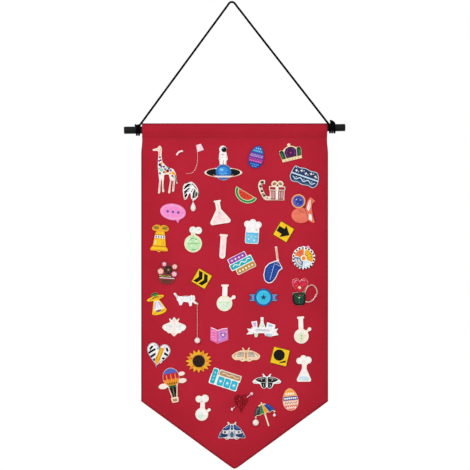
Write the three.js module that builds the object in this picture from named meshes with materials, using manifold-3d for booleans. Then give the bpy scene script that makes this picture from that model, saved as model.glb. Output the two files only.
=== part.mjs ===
// Pin display banner: a canvas pennant on a dowel, hung by a cord, with enamel pins through the cloth.
// Millimetres, +Z up, the front faces -Y. The origin is the point where a nail carries the cord.

import * as THREE from 'three';
import { mergeVertices } from 'three/addons/utils/BufferGeometryUtils.js';
import Module from 'manifold-3d';

const wasm = await Module();
wasm.setup();

// Cloth
const bannerWidth = 305;
const sideLength = 453;
const pointDepth = 112;
const tipRounding = 4;
const clothThickness = 1.0;
const hemWidth = 9;
const hemThickness = 0.9;
const pocketDepth = 25;
const pocketInset = 1.6;
const pocketEase = 2.5;
const seamGrip = 3;
const bannerDrop = 196.3;
const bannerOffset = 4.5;

// Dowel
const dowelLength = 361;
const dowelDiameter = 12;
const dowelChamfer = 0.9;
const dowelTilt = 0.7;
const dowelSides = 24;

// Cord
const cordDiameter = 3.3;
const turnGap = 0.4;
const wrapGap = 0.35;
const leftLegFromEdge = 2.5;
const rightLegFromEdge = 2.2;
const endGap = 0.3;

// Fits
const fitGap = 0.3;
const weldDistance = 1e-4;

// Layout: the cloth on which the places and sizes of the pins were drawn
const layoutWidth = 305;
const layoutLength = 453;

// Pins
const plateThickness = 1.6;
const wellDepth = 0.5;
const rim = 1.0;
const postDiameter = 1.2;
const postSides = 4;
const clutchDiameter = 10;
const clutchHeight = 5.4;
const postGrip = 2;
const postRoot = 0.5;
const lugDiameter = 3.4;
const pegDiameter = 1.0;
const pegHeadDiameter = 2.0;
const pegHeadHeight = 0.5;
const eyeThickness = 0.8;
const eyeWall = 0.8;
const chainWidth = 0.9;

const rad = THREE.MathUtils.degToRad;
const dowelRadius = dowelDiameter / 2;
const cordRadius = cordDiameter / 2;
const tiltSlope = Math.tan(rad(dowelTilt));
const pocketInner = dowelRadius + fitGap;
const pocketOuter = pocketInner + clothThickness;

// The pins keep their places on a larger or smaller cloth, and get smaller where they would crowd
const spread = bannerWidth / layoutWidth;
const stretch = sideLength / layoutLength;
const pinScale = Math.min(spread, stretch);

// Height of the dowel's axis at a place along the banner; the dowel fills the pocket at its right edge
function axisHeight(x) {
  const rightEdge = bannerOffset + bannerWidth / 2;
  return -bannerDrop - pocketOuter - tiltSlope * (rightEdge - x);
}

// Solids

function solidOf(geometry) {
  const bare = geometry.clone();
  bare.deleteAttribute('normal');
  bare.deleteAttribute('uv');
  const merged = mergeVertices(bare, weldDistance);
  const vertProperties = Float32Array.from(merged.attributes.position.array);
  const triVerts = Uint32Array.from(merged.index.array);
  return new wasm.Manifold(new wasm.Mesh({ numProp: 3, vertProperties, triVerts }));
}

function geometryOf(solid) {
  const mesh = solid.getMesh();
  const geometry = new THREE.BufferGeometry();
  geometry.setAttribute('position', new THREE.BufferAttribute(Float32Array.from(mesh.vertProperties), 3));
  geometry.setIndex(new THREE.BufferAttribute(Uint32Array.from(mesh.triVerts), 1));
  geometry.computeVertexNormals();
  return geometry;
}

function prismGeometry(points, bottom, top) {
  const options = { depth: top - bottom, bevelEnabled: false };
  return new THREE.ExtrudeGeometry(new THREE.Shape(points), options).translate(0, 0, bottom);
}

function prism(points, bottom, top) {
  return solidOf(prismGeometry(points, bottom, top));
}

function joined(solids) {
  return solids.reduce((whole, solid) => whole.add(solid));
}

// Turned form about the z axis from pairs of radius and height
function turned(profile, sides) {
  const points = profile.map(([radius, height]) => new THREE.Vector2(radius, height));
  return new THREE.LatheGeometry(points, sides).rotateX(Math.PI / 2);
}

function named(name, geometry, color, roughness, metalness = 0) {
  const material = new THREE.MeshStandardMaterial({ color, roughness, metalness });
  const mesh = new THREE.Mesh(geometry, material);
  mesh.name = name;
  return mesh;
}

// Flat outlines

function signedArea(points) {
  return THREE.ShapeUtils.area(points);
}

// Closed outline through corners, each a pair of numbers with an optional rounding radius
function rounded(list, place) {
  const spots = list.map(([x, y]) => place(x, y));
  const points = [];
  list.forEach(([, , radius], index) => {
    const corner = spots[index];
    if (!radius) {
      points.push(corner);
      return;
    }
    const before = spots[(index + list.length - 1) % list.length];
    const after = spots[(index + 1) % list.length];
    const reach = Math.min(radius, corner.distanceTo(before) * 0.45, corner.distanceTo(after) * 0.45);
    const start = corner.clone().add(before.clone().sub(corner).setLength(reach * 0.6));
    const end = corner.clone().add(after.clone().sub(corner).setLength(reach * 0.6));
    points.push(start, end);
  });
  return points;
}

function ellipse(centre, rx, ry, tilt, count) {
  const curve = new THREE.EllipseCurve(centre.x, centre.y, rx, ry, 0, 2 * Math.PI, false, rad(tilt));
  return curve.getPoints(count).slice(0, -1);
}

// More sides on larger rounds
function sidesFor(radius) {
  if (radius < 2.6) return 6;
  if (radius < 6) return 8;
  return radius < 12 ? 12 : 16;
}

// Outline moved inwards by a distance
function inset(points, distance) {
  const turn = Math.sign(signedArea(points));
  const edges = points.map((point, index) => {
    const next = points[(index + 1) % points.length];
    const along = next.clone().sub(point).normalize();
    const inward = new THREE.Vector2(-along.y, along.x).multiplyScalar(turn * distance);
    return { start: point.clone().add(inward), along };
  });
  return edges.map((edge, index) => {
    const last = edges[(index + edges.length - 1) % edges.length];
    const cross = last.along.cross(edge.along);
    if (Math.abs(cross) < 1e-3) return edge.start;
    const reach = edge.start.clone().sub(last.start).cross(edge.along) / cross;
    return last.start.clone().addScaledVector(last.along, reach);
  });
}

// Part of an outline between two heights
function slice(points, low, high) {
  const cut = (outline, height, side) => {
    const kept = [];
    outline.forEach((point, index) => {
      const next = outline[(index + 1) % outline.length];
      const here = (point.y - height) * side;
      const there = (next.y - height) * side;
      if (here >= 0) kept.push(point);
      if (here * there < 0) kept.push(point.clone().lerp(next, here / (here - there)));
    });
    return kept;
  };
  return cut(cut(points, low, 1), high, -1);
}

// Ribbon of a set width along open points
function ribbon(path, width) {
  const sides = [1, -1].map((side) => path.map((point, index) => {
    const before = path[Math.max(index - 1, 0)];
    const after = path[Math.min(index + 1, path.length - 1)];
    const along = after.clone().sub(before).normalize();
    return new THREE.Vector2(-along.y, along.x).multiplyScalar(side * width / 2).add(point);
  }));
  return [...sides[0], ...sides[1].reverse()];
}

// Drawing board of one pin: places and radii in hundredths of its width and height, origin at its middle
function boardOf(width, height) {
  const place = (x, y) => new THREE.Vector2((x / 100 - 0.5) * width, (y / 100 - 0.5) * height);
  const shareOf = (percent) => percent * width / 100;
  const flip = (list) => list.map(([x, y, radius]) => [100 - x, y, radius]);
  const poly = (...list) => rounded(list, place);
  return {
    place,
    poly,
    pair: (...list) => [poly(...list), poly(...flip(list))],
    mirrored: (...list) => poly(...list, ...flip(list).reverse().filter(([x]) => x !== 50)),
    disc: (x, y, r) => ellipse(place(x, y), shareOf(r), shareOf(r), 0, sidesFor(shareOf(r))),
    oval: (x, y, rx, ry, tilt = 0) => {
      return ellipse(place(x, y), shareOf(rx), ry * height / 100, tilt, sidesFor(shareOf(rx)));
    },
    strip: (across, ...list) => ribbon(list.map(([x, y]) => place(x, y)), shareOf(across)),
    wedge: (x, y, inner, outer, from, to) => {
      const steps = Math.ceil((to - from) / 32);
      const arc = (radius, index) => {
        const angle = rad(from + (to - from) * index / steps);
        return place(x, y).add(new THREE.Vector2(Math.cos(angle), Math.sin(angle)).multiplyScalar(radius));
      };
      const marks = Array.from({ length: steps + 1 }, (_, index) => index);
      const near = marks.map((index) => arc(shareOf(inner), index)).reverse();
      return [...marks.map((index) => arc(shareOf(outer), index)), ...near];
    },
    star: (count, deep) => Array.from({ length: 2 * count }, (_, index) => {
      const angle = Math.PI * index / count;
      const reach = index % 2 ? 50 - deep : 50;
      return place(50 + reach * Math.sin(angle), 50 + reach * Math.cos(angle));
    }),
    egg: () => Array.from({ length: 16 }, (_, index) => {
      const angle = 2 * Math.PI * index / 16;
      const up = Math.cos(angle);
      return place(50 + 50 * Math.sin(angle) * (1 - 0.16 * up), 50 + 50 * up);
    }),
    heart: (left, low, right, high) => Array.from({ length: 16 }, (_, index) => {
      const t = 2 * Math.PI * index / 16;
      const up = 13 * Math.cos(t) - 5 * Math.cos(2 * t) - 2 * Math.cos(3 * t) - Math.cos(4 * t);
      const x = (left + right) / 2 + (right - left) / 2 * Math.sin(t) ** 3;
      return place(x, low + (high - low) * (up + 17) / 28.9);
    }),
    slice: (points, low, high) => slice(points, place(0, low).y, place(0, high).y),
  };
}

// Pin designs: the outer edge, the enamel cells sunk into it, the posts behind it and any lugs for charms

function giraffe(b) {
  const edge = [b.poly([0, 92], [20, 95], [27, 100], [33, 99], [38, 94], [36, 78], [40, 65], [59, 55],
    [83, 51], [93, 42], [100, 20], [95, 21], [91, 33], [86, 4], [78, 3.5], [82, 26], [77, 27], [70, 0],
    [62, 0.5], [70, 27], [66, 39], [55, 40], [46, 38], [45.5, 25], [47, 3], [39, 2.5], [37.5, 26],
    [36, 29], [30, 0], [22, 0], [27, 26], [25, 37], [21, 55], [22, 69], [24, 82], [22, 89], [2, 89])];
  const spots = [[30, 60, 6, 3.2], [36, 49, 7, 3.6], [60, 47, 7, 3.4], [82, 43, 5.5, 3.4]];
  return { edge, cells: spots.map((spot) => b.oval(...spot)), posts: [[31, 64], [70, 46]] };
}

function crescent(b) {
  const edge = [b.strip(23.3, [6, 8], [24, 48], [52, 76], [94, 86])];
  return { edge, cells: [], posts: [[38, 62]] };
}

function kite(b) {
  const edge = b.poly([1, 80], [60, 96], [100, 30], [12, 6]);
  return { edge: [edge], cells: [inset(edge, rim)], posts: [[45, 52]] };
}

function planet(b) {
  const globe = b.disc(50.5, 23.6, 21);
  const suit = b.poly([40, 82], [58, 82], [62, 60], [58, 56], [59, 40], [53, 40], [50, 52], [47, 40],
    [41, 40], [40, 56], [38, 60]);
  const inner = inset(globe, rim);
  const cells = [b.disc(52, 88.5, 6.5), b.slice(inner, 13.5, 60), b.slice(inner, 0, 8.5),
    ...b.pair([8, 23.5], [15, 29.5], [27, 32.5], [28.5, 14.5], [18, 16.5])];
  return { edge: [globe, b.oval(50, 22.8, 50, 14.3), b.disc(49.2, 88.9, 10), suit], cells,
    posts: [[50, 24], [50, 66]] };
}

function egg(b) {
  const edge = b.egg();
  const inner = inset(edge, rim);
  const bands = [[68, 99], [47, 64], [27, 43], [1, 23]];
  return { edge: [edge], cells: bands.map(([low, high]) => b.slice(inner, low, high)), posts: [[50, 45]] };
}

function crown(b) {
  const edge = [b.poly([6, 4], [94, 4], [94, 18], [100, 58, 2], [92, 74, 2], [82, 66], [72, 76],
    [56, 84], [44, 84], [28, 76], [18, 66], [8, 74, 2], [0, 58, 2], [6, 18]), b.disc(50, 90, 7)];
  const cells = [b.poly([30, 22], [70, 22], [74, 56], [64, 73], [50, 78], [36, 73], [26, 56]),
    ...b.pair([9, 23], [25, 21], [21.5, 57], [11, 67], [4, 58]), b.disc(50, 91, 4)];
  return { edge, cells, posts: [[50, 40]] };
}

function navyPlaque(b) {
  const edge = b.poly([0, 24, 4], [12, 0, 3], [30, 8, 3], [50, 0, 3], [70, 8, 3], [88, 0, 3],
    [100, 26, 4], [97, 72, 4], [84, 100, 4], [64, 92, 3], [44, 100, 3], [24, 92, 3], [6, 98, 4],
    [1, 60, 3]);
  const inner = inset(edge, rim);
  return { edge: [edge], cells: [b.slice(inner, 54, 100), b.slice(inner, 0, 46)], posts: [[25, 50],
    [75, 50]] };
}

function zebra(b) {
  const edge = [b.poly([6, 75], [16, 88], [30, 96], [48, 99], [64, 93], [78, 80], [90, 62], [97, 40],
    [92, 22], [74, 3], [52, 8], [50, 34], [44, 42], [36, 28], [26, 6], [12, 4], [8, 26], [4, 52])];
  const cells = [b.poly([13, 72], [34, 88], [56, 86], [40, 78], [18, 62]), b.poly([11, 48], [38, 66],
    [50, 64], [36, 56], [14, 38]), b.poly([13, 26], [26, 38], [32, 30], [24, 18], [15, 14]),
    b.poly([58, 12], [62, 40], [74, 66], [76, 52], [68, 12]), b.poly([76, 14], [82, 46], [89, 40],
    [86, 24]), b.poly([66, 82], [82, 66], [86, 56], [76, 66])];
  return { edge, cells, posts: [[46, 70]], lugs: [[64, 1]] };
}

function melon(b) {
  const bow = (share, from, to) => Array.from({ length: 9 }, (_, index) => {
    const angle = from + (to - from) * index / 8;
    return b.place(50 - 50 * share * Math.cos(angle), 97 - 97 * share * Math.sin(angle));
  });
  const rind = [...bow(0.93, 0.1, Math.PI - 0.1), ...bow(0.76, 0.12, Math.PI - 0.12).reverse()];
  return { edge: [bow(1, 0, Math.PI)], cells: [rind, bow(0.68, 0.14, Math.PI - 0.14)], posts: [[50, 45]] };
}

function gift(b) {
  const edge = [b.poly([44, 2], [96, 0], [98, 52], [42, 54]), b.poly([40, 49, 1], [100, 47, 1],
    [100, 67, 1], [40, 69, 1]), b.oval(60, 80, 12, 14, 25), b.oval(82, 80, 12, 14, -25),
    b.strip(14.5, [50, 12], [28, 12], [14, 40], [7, 70], [12, 88], [25, 88])];
  const cells = [b.poly([47, 6], [64, 5], [64, 46], [46, 47]), b.poly([74, 5], [93, 4], [95, 46],
    [74, 46]), b.oval(60, 80, 8, 8, 25), b.oval(82, 80, 8, 8, -25), b.poly([21, 17], [30, 22], [25, 31],
    [17, 26]), b.poly([11, 38], [20, 42], [17, 52], [8, 49]), b.poly([5, 61], [14, 62], [13, 73],
    [3, 73]), b.poly([6, 86], [14, 80], [21, 81], [20, 94], [12, 94])];
  return { edge, cells, posts: [[69, 30]] };
}

function bubble(b) {
  const edge = [b.oval(50, 57, 49, 41, -8), b.poly([56, 30], [69, 0], [78, 30])];
  return { edge, cells: [b.oval(50, 57, 45, 35, -8)], posts: [[50, 57]] };
}

function coneFlask(b) {
  const edge = [b.poly([34, 100], [66, 100], [66, 93], [61, 92], [61, 62], [98, 12, 3], [94, 0, 3],
    [6, 0, 3], [2, 12, 3], [39, 62], [39, 92], [34, 93])];
  const cells = [b.poly([44, 90], [56, 90], [56, 66], [44, 66]), b.poly([43, 58], [57, 58], [88, 13, 2],
    [85, 6, 2], [15, 6, 2], [12, 13, 2])];
  return { edge, cells, posts: [[50, 30]] };
}

function moonLeaf(b) {
  const edge = [b.disc(30, 74, 29), b.oval(40, 27, 39, 26), b.poly([58, 34], [58, 50], [68, 78],
    [80, 88], [100, 74, 2], [86, 66], [84, 50], [88, 30], [99, 4], [88, 1], [66, 12])];
  const cells = [b.disc(30, 74, 23), b.oval(36, 27, 31, 20), b.poly([72, 14], [86, 8], [83, 30],
    [72, 32]), b.poly([64, 50], [72, 74], [80, 80], [79, 54], [72, 40])];
  return { edge, cells, posts: [[38, 40]] };
}

function beaker(b) {
  const edge = [b.poly([12, 74], [88, 74], [88, 8, 2], [84, 0, 2], [14, 0, 2], [10, 8, 2]),
    b.disc(20, 79, 19), b.disc(50, 86, 20), b.disc(81, 78, 19)];
  const cells = [b.poly([16, 44], [82, 44], [82, 10, 2], [78, 5, 2], [20, 5, 2], [16, 10, 2]),
    b.poly([17, 66], [82, 66], [82, 49], [17, 49])];
  return { edge, cells, posts: [[50, 30]] };
}

function signPlate(b) {
  return b.poly([0, 0, 1.5], [100, 0, 1.5], [100, 100, 1.5], [0, 100, 1.5]);
}

function arrowSign(b) {
  const arrow = b.poly([13, 38], [47, 38], [47, 14], [89, 50], [47, 86], [47, 62], [13, 62]);
  return { edge: [signPlate(b)], cells: [arrow], posts: [[50, 50]] };
}

function chevronSign(b) {
  const cells = [13, 46].map((x) => {
    return b.poly([x, 18], [x + 22, 18], [x + 42, 50], [x + 22, 82], [x, 82], [x + 20, 50]);
  });
  return { edge: [signPlate(b)], cells, posts: [[50, 50]] };
}

function discSign(b) {
  const cells = [b.disc(42, 58, 30), b.poly([50, 12], [87, 25], [85, 35], [62, 24])];
  return { edge: [signPlate(b)], cells, posts: [[50, 50]] };
}

function bell(b) {
  const edge = [b.oval(28, 88, 24, 11, 18), b.oval(72, 88, 24, 11, -18), b.poly([36, 86], [64, 86],
    [76, 70, 4], [82, 40], [86, 22], [99, 12, 2], [96, 5, 2], [4, 5, 2], [1, 12, 2], [14, 22], [18, 40],
    [24, 70, 4]), b.disc(50, 6, 9)];
  const cells = [b.oval(27, 88.5, 16, 6.5, 18), b.oval(73, 88.5, 16, 6.5, -18), b.poly([31, 75],
    [69, 75], [75, 65], [25, 65]), b.poly([23, 61], [77, 61], [79, 51], [21, 51]), b.poly([20, 47],
    [80, 47], [83, 25], [17, 25]), b.poly([13, 19], [87, 19], [92, 11], [8, 11])];
  return { edge, cells, posts: [[50, 42]] };
}

function greenFlask(b) {
  const edge = [b.disc(48, 34, 48), b.poly([36, 58], [60, 58], [62, 84], [38, 84]), b.disc(46, 86, 19),
    b.disc(76, 84, 20)];
  return { edge, cells: [b.disc(48, 34, 41), b.poly([43, 68], [54, 68], [55, 76], [44, 76])],
    posts: [[48, 34]] };
}

function testTube(b) {
  const edge = [b.poly([0, 100], [100, 100], [100, 92], [88, 90], [88, 12], [12, 12], [12, 90],
    [0, 92]), b.disc(50, 12.4, 38)];
  return { edge, cells: [b.poly([28, 86], [72, 86], [72, 14], [62, 7], [38, 7], [28, 14])],
    posts: [[50, 50]] };
}

function scallopBadge(b) {
  const sectors = [[88, 162], [170, 262], [270, 326], [-26, 78]];
  const cells = sectors.map(([from, to]) => b.wedge(50, 48, 13, 39, from, to));
  return { edge: [b.star(14, 4), b.disc(68, 93, 7)], cells: [b.disc(50, 48, 9), ...cells],
    posts: [[50, 50]] };
}

function feather(b) {
  const blade = b.poly([56, 60, 3], [74, 63], [84, 56], [100, 40], [80, 33], [66, 15], [46, 2, 4],
    [24, 0, 5], [6, 8, 4], [1, 24], [10, 44], [30, 55]);
  const cells = [b.poly([30, 50], [56, 54], [53, 42], [30, 8], [16, 6], [8, 14], [9, 26], [16, 42]),
    b.poly([61, 46], [88, 40], [74, 32], [60, 15], [46, 6], [38, 6], [58, 37]), b.poly([62, 58],
    [74, 59], [85, 49], [62, 50])];
  return { edge: [blade, b.strip(10.6, [65, 99], [70, 80], [76, 56])], cells, posts: [[40, 30]] };
}

function bandedPlaque(b) {
  const bar = (left, low, right, high) => b.poly([left, low, 2], [right, low, 2], [right, high, 2],
    [left, high, 2]);
  const edge = [bar(4, 66, 84, 100), bar(0, 32, 100, 70), bar(16, 0, 100, 36)];
  return { edge, cells: [bar(8, 71, 80, 96), bar(5, 39, 95, 63), bar(20, 4, 96, 29)], posts: [[50, 51]] };
}

function flowerPot(b) {
  const blooms = [[36, 85, 13], [82, 74, 15], [20, 54, 17], [80, 42, 15], [54, 60, 23]];
  const edge = [...blooms.map((bloom) => b.disc(...bloom)), b.poly([9, 30], [86, 24], [74, 4], [60, 0],
    [30, 0], [17, 8]), b.oval(42, 34, 26, 10, -6)];
  const cells = blooms.map(([x, y, r]) => b.disc(x, y, r - 4.5));
  cells.push(b.poly([17, 25], [79, 20.5], [70, 5.5], [58, 3], [32, 3], [22, 9]));
  return { edge, cells, posts: [[54, 50]] };
}

function heartPouch(b) {
  const heart = b.heart(0, 38, 62, 100);
  const edge = [heart, b.poly([3, 48], [52, 52], [54, 20], [48, 4, 3], [30, 0, 3], [10, 4, 3], [2, 22]),
    b.strip(5.2, [48, 46], [62, 70], [78, 76], [92, 66], [97, 48], [90, 32], [78, 19], [64, 14],
    [48, 18])];
  const cells = [b.slice(inset(heart, rim), 57, 100), b.poly([8, 44], [48, 47], [49, 20], [44, 7, 2],
    [13, 7, 2], [7, 22])];
  return { edge, cells, posts: [[29, 48]] };
}

function sideFlask(b) {
  const edge = [b.disc(42, 28.5, 40), b.poly([30, 52], [56, 52], [58, 95], [32, 95]), b.poly([26, 92],
    [64, 92], [64, 100], [26, 100]), b.strip(12.5, [60, 38], [90, 52]), b.disc(89, 52, 10)];
  const bowl = b.disc(42, 28.5, 33);
  return { edge, cells: [b.slice(bowl, 0, 34), b.poly([38, 62], [50, 62], [51, 88], [39, 88])],
    posts: [[42, 28]] };
}

function rosette(b) {
  const tails = b.pair([0, 66], [30, 66], [30, 31], [0, 31], [6, 48]);
  const cells = [b.disc(50, 50, 25), ...b.pair([8, 59], [17, 59], [17, 38], [8, 38], [11, 48])];
  return { edge: [b.disc(50, 50, 31), ...tails], cells, posts: [[50, 50]] };
}

function saucer(b) {
  const edge = [b.disc(41.5, 84, 19), b.oval(43, 75, 45, 9, 17), b.poly([34, 66], [62, 70], [100, 29],
    [27, 10]), b.oval(63, 18, 38, 11, 17)];
  const cells = [b.disc(40, 90, 11), b.oval(43, 75, 37, 4.6, 17), b.poly([38.5, 61], [59.5, 65], [91, 34],
    [35, 23]), b.oval(63, 17, 31, 6, 17)];
  return { edge, cells, posts: [[52, 46]] };
}

function cat(b) {
  const edge = [b.poly([4, 100], [10, 99], [18, 80], [30, 78], [50, 82], [68, 80], [74, 88], [78, 82],
    [84, 86], [88, 76], [90, 62], [86, 52], [98, 38], [95, 30], [88, 33], [78, 46], [75, 20], [66, 18],
    [62, 42], [40, 46], [34, 24], [25, 24], [21, 46], [14, 56], [14, 70], [0, 94])];
  const cells = [b.poly([20, 72], [48, 75], [64, 73], [64, 54], [40, 52], [24, 56]), b.disc(79, 66, 7)];
  return { edge, cells, posts: [[44, 64]], lugs: [[98, 33]] };
}

function whiteMoth(b) {
  const edge = [b.mirrored([50, 98], [56, 88], [60, 80], [68, 90], [72, 88], [65, 72], [80, 65],
    [94, 58, 2], [100, 47, 2], [92, 32, 2], [80, 26], [76, 18], [64, 17], [50, 0])];
  const cells = [b.poly([50, 88], [54, 76], [50, 66], [46, 76]), ...b.pair([57, 69], [66, 67], [80, 60],
    [93, 51], [88, 37], [76, 30], [62, 24], [54, 50]), b.poly([50, 5], [58, 18], [42, 18])];
  return { edge, cells, posts: [[50, 50]] };
}

function scroll(b) {
  const edge = [b.poly([16, 23], [84, 21], [84, 48], [16, 50]), b.poly([0, 15], [22, 18], [22, 42],
    [2, 45], [8, 30]), b.poly([100, 13], [78, 16], [78, 42], [98, 44], [92, 29]), b.poly([15, 78],
    [33, 82], [35, 42], [22, 42]), b.poly([44, 100], [53, 100], [53, 74], [62, 40], [36, 40], [44, 74]),
    b.poly([60, 40], [64, 76], [90, 62], [86, 38]), b.poly([24, 28], [38, 28], [34, 3], [26, 3]),
    b.poly([54, 28], [80, 26], [78, 3], [58, 9])];
  const cells = [b.poly([22, 28], [78, 26], [78, 42], [22, 44]), b.poly([19, 74], [29, 76], [31, 54],
    [24, 54]), b.poly([46, 92], [51, 92], [51, 70], [56, 52], [42, 52], [46, 70]), b.poly([67, 68],
    [84, 59], [82, 52], [66, 54])];
  return { edge, cells, posts: [[32, 35], [70, 35]] };
}

function book(b) {
  const edge = [b.poly([2, 98], [14, 93], [40, 80], [66, 89], [96, 92], [99, 22], [40, 0], [1, 22])];
  const cells = [b.poly([7, 84], [36, 71], [36, 9], [7, 25]), b.poly([44, 71], [92, 82], [94, 27],
    [44, 9])];
  return { edge, cells, posts: [[40, 42]] };
}

function stripedHeart(b) {
  const edge = [b.heart(0, 0, 100, 100)];
  const cells = [b.poly([54, 84], [74, 84], [60, 24], [48, 10], [40, 30]), b.poly([8, 73], [17, 87],
    [26, 85], [15, 67]), b.poly([7, 58], [32, 78], [38, 72], [11, 50]), b.poly([16, 42], [38, 60],
    [40, 50], [23, 35]), b.poly([29, 28], [39, 38], [41, 28], [36, 20]), b.poly([83, 90], [93, 76],
    [88, 70], [78, 82]), b.poly([76, 68], [93, 60], [90, 52], [74, 58]), b.poly([71, 46], [86, 43],
    [80, 35], [68, 38]), b.poly([66, 29], [73, 27], [66, 19], [61, 20])];
  return { edge, cells, posts: [[46, 52]] };
}

function goldMoth(b) {
  const edge = [b.mirrored([50, 78], [54, 78], [60, 98], [64, 95], [59, 77], [68, 78], [84, 65],
    [98, 46, 1.5], [98, 30, 1.5], [88, 11], [72, 12], [66, 2, 1], [58, 1, 1], [50, 9])];
  const cells = [b.poly([50, 70], [53, 58], [52, 20], [48, 20], [47, 58]), ...b.pair([56.5, 69], [68, 72],
    [82, 60], [93, 43], [92, 32], [76, 29], [57, 33]), ...b.pair([57, 26], [76, 23], [84, 16], [71, 17],
    [64, 7], [57, 7])];
  return { edge, cells, posts: [[50, 42]] };
}

function sunflower(b) {
  return { edge: [b.star(16, 15)], cells: [b.disc(50, 50, 23)], posts: [[50, 50]] };
}

function foamFlask(b) {
  const foam = [[22, 79, 21], [46, 89, 20], [76, 82, 23], [54, 74, 24]];
  const edge = [...foam.map((puff) => b.disc(...puff)), b.poly([36, 70], [70, 70], [66, 50],
    [97, 8, 2.5], [92, 0, 2.5], [8, 0, 2.5], [3, 8, 2.5], [38, 50])];
  const cells = [b.poly([45, 46], [59, 46], [85, 10, 1.5], [82, 5, 1.5], [18, 5, 1.5], [15, 10, 1.5])];
  return { edge, cells, posts: [[50, 25]] };
}

function balloon(b) {
  const envelope = b.oval(48, 72, 31, 28);
  const clouds = [[88, 78, 13, 6], [87, 58, 16, 7], [14, 51, 18, 8]];
  const edge = [envelope, b.poly([22, 60], [74, 60], [62, 40], [34, 40]), b.poly([31, 46], [65, 46],
    [57, 8], [39, 8]), b.poly([34, 14], [62, 14], [60, 0], [36, 0]),
    ...clouds.map((cloud) => b.oval(...cloud))];
  const inner = inset(envelope, rim);
  const cells = [b.slice(inner, 86, 100), b.slice(inner, 69, 83), b.slice(inner, 55, 66),
    b.poly([35, 52], [61, 52], [58, 44], [38, 44]), b.poly([39, 39], [57, 39], [51, 18], [45, 18]),
    b.poly([39, 11], [57, 11], [56, 3], [40, 3])];
  return { edge, cells, posts: [[48, 72], [48, 28]] };
}

function tealPlaque(b) {
  const bar = (left, low, right, high) => b.poly([left, low, 2], [right, low, 2], [right, high, 2],
    [left, high, 2]);
  const tiles = [28, 51, 74].map((left) => bar(left, 8, left + 19, 56));
  const edge = [bar(0, 0, 97, 64), bar(2, 40, 22, 100), bar(24, 56, 100, 100)];
  return { edge, cells: [bar(5, 8, 18, 92), ...tiles, bar(28, 70, 96, 93)], posts: [[23, 34], [75, 34]] };
}

function blackMoth(b) {
  const edge = [b.mirrored([50, 78], [54, 80], [62, 98], [66, 95], [60, 78], [78, 74], [92, 61],
    [100, 46, 1.5], [94, 34, 1.5], [74, 33], [69, 12], [62, 1, 1], [55, 4], [50, 14])];
  const cells = [...b.pair([54.5, 72], [60, 73], [77, 69], [89, 57], [78, 48], [66, 41], [54.5, 42]),
    ...b.pair([54.5, 37], [69, 37], [65.5, 13], [61, 6], [55, 10])];
  return { edge, cells, posts: [[50, 50]] };
}

function arrowHeart(b) {
  const heart = b.heart(17, 2, 75, 84);
  const edge = [heart, b.strip(5.8, [5, 12], [92, 89]), b.poly([0, 8], [10, 3], [14, 19], [3, 23]),
    b.poly([82, 88], [92, 78], [100, 90], [91, 100])];
  return { edge, cells: [inset(heart, rim), b.poly([87, 88.5], [92, 83.5], [96, 90], [91, 95])],
    posts: [[46, 44]] };
}

function foamRoundFlask(b) {
  const edge = [b.disc(42, 24, 41), b.poly([30, 42], [62, 42], [62, 72], [34, 72]), b.disc(24, 82, 22),
    b.disc(62, 84, 25), b.strip(15.7, [64, 30], [90, 41]), b.disc(89, 41, 10)];
  return { edge, cells: [b.disc(42, 24, 32), b.poly([42, 48], [53, 48], [53, 64], [43, 64])],
    posts: [[42, 24]] };
}

function umbrella(b) {
  const top = Array.from({ length: 9 }, (_, index) => {
    const angle = Math.PI * index / 8;
    return [50 + 50 * Math.cos(angle), 46 + 47 * Math.sin(angle)];
  });
  const canopy = b.poly(...top, [12, 51], [25, 46], [37, 51], [50, 46], [63, 51], [75, 46], [88, 51]);
  const cells = [...b.pair([4, 50], [12, 55], [24, 50], [42, 86], [26, 81], [10, 66]),
    ...b.pair([27, 50], [37, 55], [47, 50], [47, 88], [45, 87])];
  return { edge: [canopy, b.strip(7, [50, -9], [50, 50], [50, 100])], cells, posts: [[50, 64]],
    lugs: [[3, 45], [97, 45]] };
}

function blueMoth(b) {
  const edge = [b.mirrored([50, 88], [56, 87], [62, 99], [67, 96], [63, 84], [78, 68], [92, 42],
    [100, 14, 1], [96, 9, 1], [78, 12], [70, 1, 1], [64, 2, 1], [59, 9], [50, 6])];
  const cells = [b.poly([50, 83], [54, 72], [53, 56], [47, 56], [46, 72]), ...b.pair([57.5, 81], [63, 79],
    [76, 65], [84, 52], [76, 55], [66, 53], [58, 58]), b.oval(25, 43, 9, 8), b.oval(75, 43, 9, 8),
    ...b.pair([90, 41], [97, 17], [94, 13], [78, 16], [65, 22], [66, 30], [76, 31], [87, 36]),
    b.poly([50, 48], [58, 32], [55, 14], [45, 14], [42, 32])];
  return { edge, cells, posts: [[50, 40]] };
}

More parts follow.
